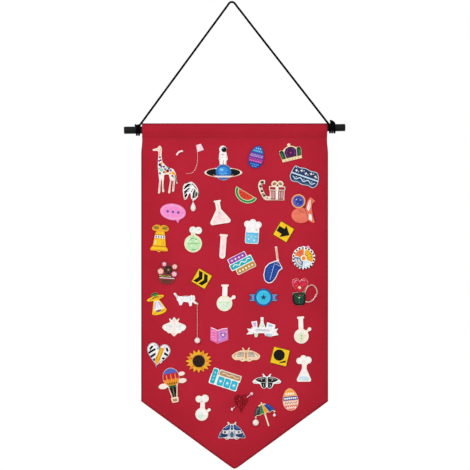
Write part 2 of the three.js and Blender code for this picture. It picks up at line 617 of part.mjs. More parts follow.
// Pins on the cloth: name, design, across from its centre line, down from its top edge, width, height,
// turn in degrees, main colour
const pins = [
  ['pin_giraffe', giraffe, -113.5, 75.5, 41, 78, 0, '#efe3d2'],
  ['pin_crescent', crescent, -89.5, 48.5, 12, 9, 0, '#f3d7dc'],
  ['pin_kite', kite, -56.5, 40.5, 13, 15.5, 0, '#f3c3d2'],
  ['pin_planet', planet, -18.5, 65, 62, 57, 0, '#f1ece6'],
  ['pin_blue_egg', egg, 35.5, 55, 24.5, 37.5, -14, '#2e86c8'],
  ['pin_crown', crown, 91, 47, 37, 30, 13, '#cdb27a'],
  ['pin_navy_plaque', navyPlaque, 114.5, 87.5, 48, 28, -19, '#3a4d6b'],
  ['pin_zebra', zebra, -71.5, 110.5, 28.5, 31.5, 0, '#eeeeec'],
  ['pin_melon', melon, 15.4, 120, 39, 17.5, -31, '#3f9a55'],
  ['pin_gift', gift, 60.5, 109, 44, 34, 0, '#a33a45'],
  ['pin_bubble', bubble, -100.5, 147, 43, 33, 0, '#ee8fc6'],
  ['pin_white_flask', coneFlask, -25.5, 145, 35.5, 39, 9, '#f6e6e4'],
  ['pin_moon_leaf', moonLeaf, 112, 139, 40, 49, 0, '#e8705c'],
  ['pin_beaker', beaker, 29, 176.5, 29, 40, -3, '#dfeef4'],
  ['pin_arrow_sign', arrowSign, 80, 177, 26.5, 26.5, -31, '#f2c51e'],
  ['pin_bell', bell, -122, 188, 30, 45, -4, '#f0b90f'],
  ['pin_green_flask', greenFlask, -67, 189.5, 30, 43, 0, '#a9e3a1'],
  ['pin_test_tube', testTube, -19, 201, 13, 40, -4, '#f4ece2'],
  ['pin_scallop_badge', scallopBadge, 112.5, 219.5, 39, 39, 0, '#e3a53a'],
  ['pin_feather', feather, 62.5, 231, 32, 61, 0, '#20508f'],
  ['pin_banded_plaque', bandedPlaque, 11, 228, 40, 31, 27, '#f2eaf2'],
  ['pin_flower_pot', flowerPot, -109.5, 243, 37, 38, 0, '#e59aa2'],
  ['pin_chevron_sign', chevronSign, -53.5, 253.5, 26, 26, -30, '#f2c51e'],
  ['pin_heart_pouch', heartPouch, 114.5, 275.5, 42, 45, 0, '#c22a36'],
  ['pin_side_flask', sideFlask, -14, 284.5, 32, 43, 0, '#f4ede2'],
  ['pin_rosette', rosette, 47, 284, 46.5, 30, 0, '#3fc0e2'],
  ['pin_saucer', saucer, -127, 295, 32, 39, 0, '#f0c52c'],
  ['pin_cat', cat, -80, 290, 40, 27, 0, '#f2f0ee'],
  ['pin_white_moth', whiteMoth, -98.5, 331.5, 40, 33.5, 0, '#f6efe4'],
  ['pin_filled_flask', sideFlask, 110.5, 337.5, 30, 45, 4, '#f6f0e2'],
  ['pin_scroll', scroll, 45.5, 333, 53, 33.5, 0, '#f2efee'],
  ['pin_book', book, -25, 345.5, 30.5, 29, 0, '#e25a9c'],
  ['pin_striped_heart', stripedHeart, -125, 378.5, 38, 39, -9, '#e9e9ec'],
  ['pin_disc_sign', discSign, 74, 380.5, 28, 28, -14, '#f2c51e'],
  ['pin_gold_moth', goldMoth, 18.5, 377, 48, 24, 0, '#ead0ae'],
  ['pin_sunflower', sunflower, -58.5, 388, 44.5, 39, 0, '#eda92c'],
  ['pin_foam_flask', foamFlask, 113, 400, 25.5, 43, 0, '#f6f0e6'],
  ['pin_balloon', balloon, -100.5, 427, 44, 57, 10, '#e07a35'],
  ['pin_teal_plaque', tealPlaque, -15.5, 418, 49, 27, -18, '#23b3bd'],
  ['pin_black_moth', blackMoth, 52.5, 420.5, 48, 25.5, 0, '#f2f2f2'],
  ['pin_coral_egg', egg, 91, 450.5, 25.5, 36.5, 6, '#e98a6c'],
  ['pin_arrow_heart', arrowHeart, 12, 454, 38, 33.5, 0, '#8f1420'],
  ['pin_foam_round_flask', foamRoundFlask, -51.5, 463.5, 25.5, 43, 0, '#f6f0e2'],
  ['pin_umbrella', umbrella, 49, 473, 34, 37, 18, '#3f6fae'],
  ['pin_blue_moth', blueMoth, -4.5, 501.5, 45, 30, 0, '#2b4ea0'],
].map(([name, design, across, down, width, height, turn, color]) => ({
  name, design, turn, color,
  across: across * spread,
  down: down * stretch,
  width: width * pinScale,
  height: height * pinScale,
}));

// Charms: name, pin and lug that each hangs from, drop of the stone's middle, half width, half height and
// depth of the flat-backed stone
const charms = [
  ['zebra_drop_charm', 'pin_zebra', 0, 10.5, 4.7, 7.4, 3.6],
  ['cat_ball_charm', 'pin_cat', 0, 59.5, 4.7, 4.7, 4.4],
  ['umbrella_large_charm', 'pin_umbrella', 0, 8.2, 5.2, 5.2, 4.2],
  ['umbrella_small_charm', 'pin_umbrella', 1, 6, 2.4, 2.4, 2.4],
].map(([name, pin, lug, drop, halfWidth, halfHeight, depth]) => {
  return { name, pin, lug, drop, halfWidth, halfHeight, depth };
});

// Place of a spot on a pin, measured on the cloth's front face
function spotOnCloth(pin, [x, y]) {
  const spot = boardOf(pin.width, pin.height).place(x, y);
  const centre = new THREE.Vector2(pin.across, -pin.down);
  return spot.rotateAround(new THREE.Vector2(), rad(pin.turn)).add(centre);
}

// Pin: plate with enamel wells, posts through the cloth with a clutch on each, pegs on its lugs

const plateTop = fitGap + plateThickness;
const clutchFace = -clothThickness - fitGap;
const eyeBack = plateTop + fitGap;
const eyeFront = eyeBack + eyeThickness;

function clutch() {
  const outer = clutchDiameter / 2;
  const profile = [[0, clutchFace - clutchHeight], [outer * 0.5, clutchFace - clutchHeight],
    [outer, clutchFace], [0, clutchFace]];
  return solidOf(turned(profile, 6));
}

function peg() {
  const stem = pegDiameter / 2;
  const head = pegHeadDiameter / 2;
  const seat = eyeFront + fitGap;
  const profile = [[0, fitGap + postRoot], [stem, fitGap + postRoot], [stem, seat], [head, seat],
    [head, seat + pegHeadHeight], [0, seat + pegHeadHeight]];
  return solidOf(turned(profile, 6));
}

function pinSolid(pin) {
  const board = boardOf(pin.width, pin.height);
  const { edge, cells, posts, lugs = [] } = pin.design(board);
  const postRing = ellipse(new THREE.Vector2(), postDiameter / 2, postDiameter / 2, 0, postSides);
  const parts = edge.map((points) => prism(points, fitGap, plateTop));
  for (const [x, y] of posts) {
    const spot = board.place(x, y);
    parts.push(prism(postRing, clutchFace - postGrip, fitGap + postRoot).translate(spot.x, spot.y, 0));
    parts.push(clutch().translate(spot.x, spot.y, 0));
  }
  for (const [x, y] of lugs) {
    const spot = board.place(x, y);
    parts.push(prism(ellipse(spot, lugDiameter / 2, lugDiameter / 2, 0, 10), fitGap, plateTop));
    parts.push(peg().translate(spot.x, spot.y, 0));
  }
  return cells.reduce((plate, cell) => {
    return plate.subtract(prism(cell, plateTop - wellDepth, plateTop + fitGap));
  }, joined(parts));
}

// Charm: an eye over the peg, a link and a flat-backed stone below it
function charmSolid(charm) {
  const { drop, halfWidth, halfHeight, depth } = charm;
  const bore = pegDiameter / 2 + fitGap;
  const ring = (radius) => ellipse(new THREE.Vector2(), radius, radius, 0, 8);
  const half = chainWidth / 2;
  const link = [[-half, -drop], [half, -drop], [half, -bore - half], [-half, -bore - half]];
  const ball = new THREE.SphereGeometry(1, 10, 6).scale(halfWidth, halfHeight, depth);
  const stone = solidOf(ball.translate(0, -drop, eyeBack));
  const reach = halfWidth + halfHeight;
  const behind = prism(ring(reach), eyeBack - depth - fitGap, eyeBack).translate(0, -drop, 0);
  const hole = prism(ring(bore), eyeBack - fitGap, eyeFront + fitGap);
  const eye = prism(ring(bore + eyeWall), eyeBack, eyeFront).subtract(hole);
  const linkPoints = link.map(([x, y]) => new THREE.Vector2(x, y));
  return joined([stone.subtract(behind), prism(linkPoints, eyeBack, eyeFront), eye]);
}

// Cloth panel below the pocket's stitch line, with turned hems behind and a hole for each post
function panelSolid() {
  const half = bannerWidth / 2;
  const top = -pocketDepth - fitGap;
  const outline = (margin) => {
    const slope = pointDepth / half;
    const drop = margin * Math.hypot(1, slope);
    const shoulder = sideLength - drop + margin * slope;
    const tip = sideLength + pointDepth - drop;
    const list = [[half - margin, top], [half - margin, -shoulder], [0, -tip, tipRounding],
      [margin - half, -shoulder], [margin - half, top]];
    return rounded(list, (x, y) => new THREE.Vector2(x, y));
  };
  const back = -clothThickness;
  let solid = prism(outline(0), back - hemThickness, 0);
  solid = solid.subtract(prism(outline(hemWidth), back - hemThickness - fitGap, back));
  const holeRadius = postDiameter / 2 + fitGap / Math.cos(Math.PI / postSides);
  for (const pin of pins) {
    for (const post of pin.design(boardOf(pin.width, pin.height)).posts) {
      const hole = ellipse(spotOnCloth(pin, post), holeRadius, holeRadius, pin.turn, postSides);
      solid = solid.subtract(prism(hole, back - hemThickness - fitGap, fitGap));
    }
  }
  return solid;
}

// Rod pocket: the cloth goes up in front, over the dowel and down behind to the stitch line
function pocketGeometry() {
  const slack = tiltSlope * bannerWidth;
  const width = bannerWidth - 2 * pocketInset;
  const arcSteps = 12;
  const sides = (radius, bottom) => {
    const centre = -pocketOuter;
    const low = centre - slack - pocketEase;
    const arc = new THREE.EllipseCurve(0, centre, radius, radius, 0, Math.PI).getPoints(arcSteps);
    return [new THREE.Vector2(radius, low), ...arc, new THREE.Vector2(-radius, low), ...bottom];
  };
  const seam = clothThickness / 2;
  const outer = sides(pocketOuter, [new THREE.Vector2(-seam, -pocketDepth),
    new THREE.Vector2(3 * seam, -pocketDepth)]);
  const inner = sides(pocketInner, [new THREE.Vector2(seam, -pocketDepth + seamGrip)]);
  const shape = new THREE.Shape(outer);
  shape.holes.push(new THREE.Path(inner.reverse()));
  const geometry = new THREE.ExtrudeGeometry(shape, { depth: width, bevelEnabled: false });
  geometry.translate(0, 0, -width / 2);
  const axes = [new THREE.Vector3(0, 1, 0), new THREE.Vector3(0, 0, 1), new THREE.Vector3(1, 0, 0)];
  return geometry.applyMatrix4(new THREE.Matrix4().makeBasis(...axes));
}

function dowelGeometry() {
  const half = dowelLength / 2;
  const profile = [[0, -half], [dowelRadius - dowelChamfer, -half], [dowelRadius, -half + dowelChamfer],
    [dowelRadius, half - dowelChamfer], [dowelRadius - dowelChamfer, half], [0, half]];
  return turned(profile, dowelSides).rotateY(Math.PI / 2);
}

// Cord: steps follow the listed points, so they crowd where the cord bends
class RoutedCurve extends THREE.CatmullRomCurve3 {
  getPointAt(share, target) {
    return this.getPoint(share, target);
  }

  getTangentAt(share, target) {
    return this.getTangent(share, target);
  }

  getSpacedPoints(steps) {
    return this.getPoints(steps);
  }
}

function tubeGeometry(points, sides, stepsPerPoint) {
  const section = ellipse(new THREE.Vector2(), cordRadius, cordRadius, 0, sides);
  const path = new RoutedCurve(points);
  const steps = (points.length - 1) * stepsPerPoint;
  return new THREE.ExtrudeGeometry(new THREE.Shape(section), { steps, extrudePath: path });
}

// Free stretch: up the left leg, over the nail and down the right leg
const cordRoute = [
  [-147.65, -7.4, -197.2], [-146, -7.3, -194.94], [-130, -6.5, -172.97], [-110, -5.47, -145.5],
  [-90, -4.43, -118.03], [-70, -3.4, -90.56], [-50, -2.36, -63.1], [-30, -1.33, -35.63],
  [-15, -0.55, -15.03], [-8.5, -0.2, -6.1], [-4.85, 0, -0.82], [-2.6, 0, 1.06], [0, 0, 1.65],
  [2.55, 0, 1.08], [4.73, 0, -0.66], [8.5, -0.2, -5.75], [15, -0.52, -14.09],
  [29.8, -1.26, -33.35], [49.65, -2.24, -59.01], [69.5, -3.22, -84.67], [89.4, -4.21, -110.34],
  [109.2, -5.19, -136], [129.1, -6.17, -161.66], [148.95, -7.15, -187.33], [152.4, -7.33, -191.82],
  [155.2, -7.47, -195.4],
];

// Turns round the dowel: down in front, under it, up behind and over, stepping outwards
function wrapPoints({ leg, side, lastAngle, tail }) {
  const radius = dowelRadius + wrapGap + cordRadius;
  const pitch = cordDiameter + turnGap;
  const start = bannerOffset + side * (bannerWidth / 2 + leg);
  const height = axisHeight(start + side * pitch);
  const first = cordRoute.map((point) => new THREE.Vector3(...point));
  const [near, next] = side < 0 ? first : first.reverse();
  const down = near.clone().sub(next).normalize();
  const points = [endGap, endGap + cordDiameter].map((reach) => near.clone().addScaledVector(down, reach));
  for (let angle = 15; angle <= lastAngle; angle += 15) {
    const turn = rad(angle);
    const along = start + side * pitch * angle / 360;
    points.push(new THREE.Vector3(along, -radius * Math.cos(turn), height - radius * Math.sin(turn)));
  }
  const end = points[points.length - 1].x;
  return [...points, ...tail.map(([x, y, z]) => new THREE.Vector3(end + side * x, y, height + z))];
}

// Least distance between stretches of one tube that aren't neighbours along it, less the cord itself
function leastGap(points) {
  const fine = new THREE.CatmullRomCurve3(points).getSpacedPoints(points.length * 6);
  const lengths = [0];
  fine.forEach((point, index) => {
    if (index > 0) lengths.push(lengths[index - 1] + point.distanceTo(fine[index - 1]));
  });
  let least = Infinity;
  fine.forEach((point, index) => {
    fine.forEach((other, place) => {
      const apart = lengths[place] - lengths[index];
      if (apart > 4 * cordDiameter) least = Math.min(least, point.distanceTo(other));
    });
  });
  return least - cordDiameter;
}

const overTop = dowelRadius + wrapGap + cordRadius;
const wraps = [
  {
    name: 'left_wrap', leg: leftLegFromEdge, side: -1, lastAngle: 630,
    tail: [[0.1, -1.5, overTop], [0.2, -3.2, overTop]],
  },
  {
    name: 'right_wrap', leg: rightLegFromEdge, side: 1, lastAngle: 900,
    tail: [[0, overTop, 3], [-0.15, overTop, 5.5], [-1.15, overTop, 8.5], [-3.25, overTop, 10.4],
      [-5.85, overTop, 11.5], [-8.2, overTop, 12.3]],
  },
];

// Assembly

const object = new THREE.Group();

object.add(named('hanger_cord', tubeGeometry(cordRoute.map((point) => new THREE.Vector3(...point)), 8, 2),
  '#141416', 0.85));
for (const wrap of wraps) {
  const points = wrapPoints(wrap);
  object.add(named(wrap.name, tubeGeometry(points, 6, 1), '#141416', 0.85));
  console.log(`${wrap.name}: least gap to itself ${leastGap(points).toFixed(2)} mm`);
}

const rod = new THREE.Group();
rod.position.set(bannerOffset, 0, axisHeight(bannerOffset));
rod.rotation.y = -rad(dowelTilt);
rod.add(named('dowel', dowelGeometry(), '#1b1b1c', 0.55));
object.add(rod);

const banner = new THREE.Group();
banner.position.set(bannerOffset, 0, -bannerDrop);
banner.add(named('rod_pocket', pocketGeometry(), '#b32434', 0.9));
object.add(banner);

const face = new THREE.Group();
face.position.y = -clothThickness / 2;
face.rotation.x = Math.PI / 2;
face.add(named('canvas_panel', geometryOf(panelSolid()), '#b32434', 0.9));
banner.add(face);

for (const pin of pins) {
  const mesh = named(pin.name, geometryOf(pinSolid(pin)), pin.color, 0.35, 0.3);
  mesh.position.set(pin.across, -pin.down, 0);
  mesh.rotation.z = rad(pin.turn);
  face.add(mesh);
}

for (const charm of charms) {
  const pin = pins.find(({ name }) => name === charm.pin);
  const lug = pin.design(boardOf(pin.width, pin.height)).lugs[charm.lug];
  const spot = spotOnCloth(pin, lug);
  const mesh = named(charm.name, geometryOf(charmSolid(charm)), '#efe6e2', 0.25);
  mesh.position.set(spot.x, spot.y, 0);
  face.add(mesh);
}

export default object;
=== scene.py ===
"""Pin display banner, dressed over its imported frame. Metres, +Z up, the front faces -Y."""

import math

import bpy
import numpy as np
from mathutils import Matrix, Vector
from mathutils.geometry import delaunay_2d_cdt, tessellate_polygon


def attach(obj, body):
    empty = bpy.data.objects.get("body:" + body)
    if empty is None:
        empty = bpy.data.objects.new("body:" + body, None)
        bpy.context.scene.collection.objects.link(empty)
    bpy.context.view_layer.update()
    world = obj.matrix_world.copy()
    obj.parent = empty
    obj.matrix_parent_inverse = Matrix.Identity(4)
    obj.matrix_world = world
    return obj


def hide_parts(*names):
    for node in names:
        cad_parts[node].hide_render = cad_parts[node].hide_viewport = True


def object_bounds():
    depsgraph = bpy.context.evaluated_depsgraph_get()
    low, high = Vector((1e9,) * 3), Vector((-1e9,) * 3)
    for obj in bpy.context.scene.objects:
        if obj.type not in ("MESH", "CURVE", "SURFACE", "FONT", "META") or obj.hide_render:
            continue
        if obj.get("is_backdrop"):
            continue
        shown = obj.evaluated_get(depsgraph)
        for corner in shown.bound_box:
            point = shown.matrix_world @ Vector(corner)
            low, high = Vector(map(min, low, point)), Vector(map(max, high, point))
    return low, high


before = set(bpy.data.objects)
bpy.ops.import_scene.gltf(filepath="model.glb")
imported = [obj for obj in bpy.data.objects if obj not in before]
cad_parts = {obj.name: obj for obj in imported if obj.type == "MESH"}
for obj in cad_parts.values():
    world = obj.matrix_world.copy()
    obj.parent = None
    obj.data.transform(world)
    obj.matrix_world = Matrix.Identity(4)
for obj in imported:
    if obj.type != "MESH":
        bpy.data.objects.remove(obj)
cad_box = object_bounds()
scene = bpy.context.scene
scene.view_settings.view_transform = "Standard"

# Sizes in millimetres, shared with the frame where it has them
MM = 0.001
BANNER_WIDTH = 305.0
SIDE_LENGTH = 453.0
POINT_DEPTH = 112.0
CLOTH = 1.0
HEM_THICKNESS = 0.9
POCKET_DEPTH = 25.0
POCKET_INSET = 1.6
POCKET_EASE = 2.5
BANNER_DROP = 196.3
BANNER_OFFSET = 4.5
DOWEL_LENGTH = 361.0
DOWEL_RADIUS = 6.0
DOWEL_TILT = math.radians(0.7)
FIT_GAP = 0.3
PLATE_TOP = 1.9
WELL_FLOOR = 1.2
ENAMEL_TOP = 1.78
RIM = 1.0
HALF = BANNER_WIDTH / 2
POCKET_OUTER = DOWEL_RADIUS + FIT_GAP + CLOTH
SLOPE = math.tan(DOWEL_TILT)
# Upright distance on the slanted foot for each unit measured square to it
SLANT = math.hypot(1, POINT_DEPTH / HALF)

# Face of the cloth: x to the right, y up, z to the viewer, from the middle of its top edge
FACE = Matrix(((1, 0, 0, BANNER_OFFSET), (0, 0, -1, -CLOTH / 2), (0, 1, 0, -BANNER_DROP), (0, 0, 0, 1)))
TO_METRES = Matrix.Scale(MM, 4)


def axis_height(x):
    """Height of the dowel's axis, which is tilted."""
    return -BANNER_DROP - POCKET_OUTER - SLOPE * (BANNER_OFFSET + HALF - x)


def added(name, data):
    """Object with its data, put in the scene."""
    obj = bpy.data.objects.new(name, data)
    scene.collection.objects.link(obj)
    return obj


# Camera
VIEW_WIDTH = 0.767
VIEW_CENTRE = (0.0051, -0.3786)
LENS = 100.0
SENSOR = 36.0
camera_data = bpy.data.cameras.new("camera")
camera_data.lens = LENS
camera_data.sensor_width = SENSOR
camera = added("camera", camera_data)
camera.location = (VIEW_CENTRE[0], -VIEW_WIDTH * LENS / SENSOR, VIEW_CENTRE[1])
camera.rotation_euler = (math.pi / 2, 0, 0)
scene.camera = camera

# Materials
WHITE = (1, 1, 1, 1)
THREAD_PITCH = 0.00085
# Painted shade on the cloth, in millimetres: height of its ridge, and reach of the soft and the sharp painted
# shade
RIDGE = 5.0
SOFT_SHADE_REACH = 55.0
EDGE_SHADE_REACH = 3.0
ENAMELS = dict(
    white="#f6f4f2", ivory="#f5ece0", cream="#f1e4ce", blushwhite="#f6e8e2", skin="#f6dfdd", blush="#f3cdbc",
    palepink="#f5d3da", candy="#f3b3d4", pink="#f08fc9", rose="#e2669c", magenta="#c13f93", orchid="#c98bd0",
    berry="#9a3fa8", violet="#7a3d9c", purple="#69499a", plum="#4a1748", lilac="#d3b4e2", lavender="#9a86c8",
    indigo="#5a5fb8", navy="#26375f", royal="#213f96", blue="#2a6fb8", azure="#3f8fdd", sky="#78c6e6",
    paleblue="#c6e2f0", cyan="#38bce2", teal="#1fb0ba", steel="#1d6a9c", slate="#52708e", green="#2f8a48",
    leaf="#86b95b", palegreen="#bce8b0", mist="#dcefdc", mint="#7fcfb2", forest="#1d3f33", lemon="#f0e2a0",
    olive="#a38d2f", yellow="#f4c81f", amber="#eda62a", petal="#f0b648", ochre="#c0903f", orange="#ec7c2c",
    coral="#e76f58", salmon="#ea7a63", peach="#f2b294", apricot="#f5cda6", melon="#e0402c", red="#c9263a",
    crimson="#a3273a", wine="#740b17", maroon="#7a1c34", umber="#7d3a35", brown="#4a2f26", tan="#b98d5c",
    dusk="#3c3644", black="#101012", grey="#9a9da4", pale="#d8d6da")
METALS = dict(gold="#e0bd7c", champagne="#eeddb0", rosegold="#ecc9b8", silver="#dcdde0", brass="#c9a65a")


def linear(code):
    """Linear colour of a screen colour code."""
    values = [int(code[i:i + 2], 16) / 255 for i in (1, 3, 5)]
    return [v / 12.92 if v <= 0.04045 else ((v + 0.055) / 1.055) ** 2.4 for v in values] + [1.0]


def shade(colour, factor):
    return [min(1.0, v * factor) for v in colour[:3]] + [1.0]


class Nodes:
    """Node tree; each input takes a value or the output of another node."""

    def __init__(self, tree):
        self.tree = tree

    def feed(self, value, socket):
        if isinstance(value, bpy.types.NodeSocket):
            self.tree.links.new(value, socket)
        else:
            socket.default_value = value

    def add(self, kind, inputs=None, **settings):
        node = self.tree.nodes.new("ShaderNode" + kind)
        for key, value in settings.items():
            setattr(node, key, value)
        for key, value in (inputs or {}).items():
            self.feed(value, node.inputs[key])
        return node

    def math(self, operation, *values):
        return self.add("Math", dict(enumerate(values)), operation=operation).outputs[0]


class Shader(Nodes):
    """Material with short ways to shape its surface."""

    def __init__(self, name):
        self.material = bpy.data.materials.new(name)
        self.material.use_nodes = True
        super().__init__(self.material.node_tree)
        self.surface = self.tree.nodes["Principled BSDF"]

    def set(self, **values):
        for key, value in values.items():
            self.feed(value, self.surface.inputs[key.replace("_", " ")])

    def coords(self, kind="Object", scale=(1, 1, 1)):
        source = self.add("TexCoord").outputs[kind]
        return self.add("Mapping", {"Vector": source, "Scale": scale}).outputs["Vector"]

    def noise(self, vector, scale, detail=3.0, rough=0.55):
        inputs = {"Vector": vector, "Scale": scale, "Detail": detail, "Roughness": rough}
        return self.add("TexNoise", inputs).outputs["Fac"]

    def ramp(self, factor, *stops):
        node = self.add("ValToRGB", {"Fac": factor})
        elements = node.color_ramp.elements
        while len(elements) < len(stops):
            elements.new(0.5)
        for element, (place, colour) in zip(elements, stops):
            element.position = place
            element.color = colour
        return node.outputs["Color"]

    def span(self, factor, low, high):
        return self.add("MapRange", {"Value": factor, "To Min": low, "To Max": high}).outputs["Result"]

    def blend(self, factor, a, b, mode="MIX"):
        return self.add("Mix", {0: factor, 6: a, 7: b}, data_type="RGBA", blend_type=mode).outputs[2]

    def bump(self, height, strength, distance):
        inputs = {"Height": height, "Strength": strength, "Distance": distance}
        self.set(Normal=self.add("Bump", inputs).outputs["Normal"])


def canvas_material():
    s = Shader("canvas_red")
    uv = s.coords("UV")
    x, y, _ = s.add("SeparateXYZ", {0: uv}).outputs
    u, v = [s.math("DIVIDE", place, THREAD_PITCH) for place in (x, y)]
    warp, weft = [s.math("ABSOLUTE", s.math("SINE", s.math("MULTIPLY", t, math.pi))) for t in (u, v)]
    over = s.math("PINGPONG", s.math("ADD", s.math("FLOOR", u), s.math("FLOOR", v)), 1.0)
    under = s.math("SUBTRACT", 1.0, over)
    weave = s.math("ADD", s.math("MULTIPLY", over, warp), s.math("MULTIPLY", under, weft))
    slubs = [s.noise(s.coords("UV", scale), 1.0, 2.0) for scale in ((40, 1800, 1), (1800, 40, 1))]
    slubs = s.math("MULTIPLY", s.math("ADD", *slubs), 0.5)
    across = s.math("ABSOLUTE", x)
    side = s.math("SUBTRACT", HALF * MM, across)
    slope = s.math("SUBTRACT", y, s.math("MULTIPLY", across, POINT_DEPTH / HALF))
    foot = s.math("DIVIDE", s.math("ADD", slope, (SIDE_LENGTH + POINT_DEPTH) * MM), SLANT)
    hem = s.math("MINIMUM", side, foot)
    ridge = s.math("ABSOLUTE", s.math("SUBTRACT", y, RIDGE * MM))
    # Painted shade: a soft darker, deeper red toward the hems and the ridge, in place of the lesser sheen
    # there
    deep = s.math("DIVIDE", s.math("MINIMUM", hem, ridge), SOFT_SHADE_REACH * MM)
    # Painted shade: a narrow dark line along the hems and the ridge, where the cloth turns away from the
    # light
    painted_edge_shade = s.math("DIVIDE", s.math("MINIMUM", hem, s.math("MULTIPLY", ridge, 0.4)), EDGE_SHADE_REACH * MM)
    base = linear("#bf2538")
    cloth = s.ramp(s.noise(uv, 16.0, 4.0), (0.3, shade(base, 0.93)), (0.7, shade(base, 1.06)))
    for share, factor, low, tone, high in (
            (0.55, slubs, 0.32, (0.80, 0.78, 0.78, 1), 0.68), (0.6, weave, 0.0, (0.72, 0.66, 0.66, 1), 0.45),
            (1.0, deep, 0.0, (0.88, 0.72, 0.76, 1), 1.0), (1.0, painted_edge_shade, 0.4, (0.6, 0.58, 0.6, 1), 1.0)):
        cloth = s.blend(share, cloth, s.ramp(factor, (low, tone), (high, WHITE)), "MULTIPLY")
    s.set(Base_Color=cloth, Roughness=s.span(slubs, 0.82, 0.98), Specular_IOR_Level=0.08)
    s.set(Sheen_Weight=0.03, Sheen_Roughness=0.5)
    s.bump(s.math("ADD", weave, s.math("MULTIPLY", slubs, 0.8)), 0.45, 0.0003)
    return s.material


def thread_material():
    s = Shader("thread_red")
    twist = s.noise(s.coords(), 2600.0, 2.0)
    base = linear("#9d1f2d")
    s.set(Base_Color=s.ramp(twist, (0.3, shade(base, 0.75)), (0.7, shade(base, 1.2))))
    s.set(Roughness=0.7, Sheen_Weight=0.1)
    s.bump(twist, 0.4, 0.0001)
    return s.material


def cord_material():
    s = Shader("cord_black")
    vector = s.coords()
    fibre = s.noise(vector, 2200.0)
    dust = s.noise(vector, 60.0)
    base = linear("#070708")
    fine = s.ramp(fibre, (0.3, shade(base, 0.5)), (0.75, shade(base, 1.9)))
    s.set(Base_Color=s.blend(s.span(dust, 0.0, 0.15), fine, linear("#151416")))
    s.set(Roughness=0.9, Specular_IOR_Level=0.01)
    s.bump(fibre, 0.5, 0.0002)
    return s.material


def dowel_material():
    s = Shader("dowel_black")
    grain = s.noise(s.coords(scale=(6, 260, 260)), 1.0, 5.0, 0.6)
    rub = s.noise(s.coords(scale=(30, 30, 30)), 1.0, 4.0)
    base = linear("#100f10")
    painted = s.ramp(grain, (0.3, shade(base, 0.55)), (0.5, base), (0.75, shade(base, 1.7)))
    s.set(Base_Color=s.blend(s.span(rub, 0.0, 0.15), painted, linear("#211e1d")))
    s.set(Roughness=s.span(rub, 0.36, 0.62), Specular_IOR_Level=0.12)
    s.bump(grain, 0.35, 0.0004)
    return s.material


def enamel_material(name, code, glitter):
    s = Shader("enamel_" + name)
    base = linear(code)
    vector = s.coords()
    skin = s.noise(vector, 1400.0, 2.0)
    tone = s.ramp(s.noise(vector, 210.0), (0.3, shade(base, 0.9)), (0.7, shade(base, 1.08)))
    if glitter:
        # Glitter flakes of random tone; the brightest ones are painted glints
        flakes = s.add("TexVoronoi", {"Vector": vector, "Scale": 800.0}).outputs["Color"]
        spark = s.ramp(s.math("FRACT", s.math("MULTIPLY", flakes, 7.3)),
                       (0.2, shade(base, 0.5)), (0.7, shade(base, 1.4)), (0.95, shade(base, 4.5)))
        tone = s.blend(0.8, tone, spark)
        s.set(Metallic=0.45)
    s.set(Base_Color=tone, Roughness=s.span(skin, 0.12, 0.24))
    s.set(Coat_Weight=0.03, Coat_Roughness=0.06, Specular_IOR_Level=0.1)
    s.bump(skin, 0.05, 0.0002)
    return s.material


def metal_material(name, code):
    s = Shader("metal_" + name)
    base = linear(code)
    tarnish = s.noise(s.coords(), 160.0, 4.0)
    scratch = s.noise(s.coords(scale=(300, 300, 4200)), 1.0, 2.0)
    s.set(Base_Color=s.ramp(tarnish, (0.28, shade(base, 0.82)), (0.6, base)))
    s.set(Roughness=s.span(scratch, 0.2, 0.4), Metallic=0.9)
    s.bump(scratch, 0.06, 0.0002)
    return s.material


def pearl_material():
    s = Shader("pearl")
    bands = s.noise(s.coords(), 240.0)
    tones = zip((0.25, 0.5, 0.75), (linear("#e2cfc6"), linear("#efe6e0"), linear("#dfe0e4")))
    s.set(Base_Color=s.ramp(bands, *tones), Roughness=s.span(bands, 0.14, 0.26), Sheen_Weight=0.15)
    s.set(Coat_Weight=0.6, Coat_Roughness=0.08)
    s.set(Subsurface_Weight=0.08, Subsurface_Radius=(0.0012, 0.001, 0.001))
    s.bump(bands, 0.04, 0.0003)
    return s.material


made = {}


def finish(name):
    """Material of a pin's colour, made once."""
    if name not in made:
        if name in METALS:
            made[name] = metal_material(name, METALS[name])
        elif name == "pearl":
            made[name] = pearl_material()
        else:
            plain = name.removeprefix("glitter_")
            made[name] = enamel_material(name, ENAMELS[plain], plain != name)
    return made[name]


# Meshes
END_SHARES = (0.62, 0.9)
LEAST_GAP = 1e-9
FINE_STEP = 0.34
OFF_AXIS = (0.3, 0.9, 0.2)


class Piece:
    """One object's faces with a material for each, in millimetres."""

    def __init__(self, name):
        self.name = name
        self.verts = []
        self.faces = []
        self.slots = []
        self.materials = []

    def add(self, verts, faces, material):
        if material not in self.materials:
            self.materials.append(material)
        base = len(self.verts)
        self.verts += [tuple(v) for v in verts]
        self.faces += [tuple(base + i for i in face) for face in faces]
        self.slots += [self.materials.index(material)] * len(faces)

    def build(self, matrix, crease, uvs=None):
        """Object in metres; edges sharper than the crease in degrees stay sharp."""
        mesh = bpy.data.meshes.new(self.name)
        mesh.from_pydata(self.verts, [], self.faces)
        for material in self.materials:
            mesh.materials.append(material)
        mesh.polygons.foreach_set("material_index", self.slots)
        mesh.polygons.foreach_set("use_smooth", [True] * len(self.faces))
        if uvs is not None:
            layer = mesh.uv_layers.new(name="UVMap")
            corners = np.zeros(len(mesh.loops), dtype=np.int32)
            mesh.loops.foreach_get("vertex_index", corners)
            layer.data.foreach_set("uv", np.asarray(uvs, dtype=np.float32)[corners].ravel())
        mesh.transform(TO_METRES @ matrix)
        mesh.validate()
        mesh.update()
        mesh.set_sharp_from_angle(angle=math.radians(crease))
        return added(self.name, mesh)


def turns(count):
    """Even angles round a circle."""
    return [2 * math.pi * i / count for i in range(count)]


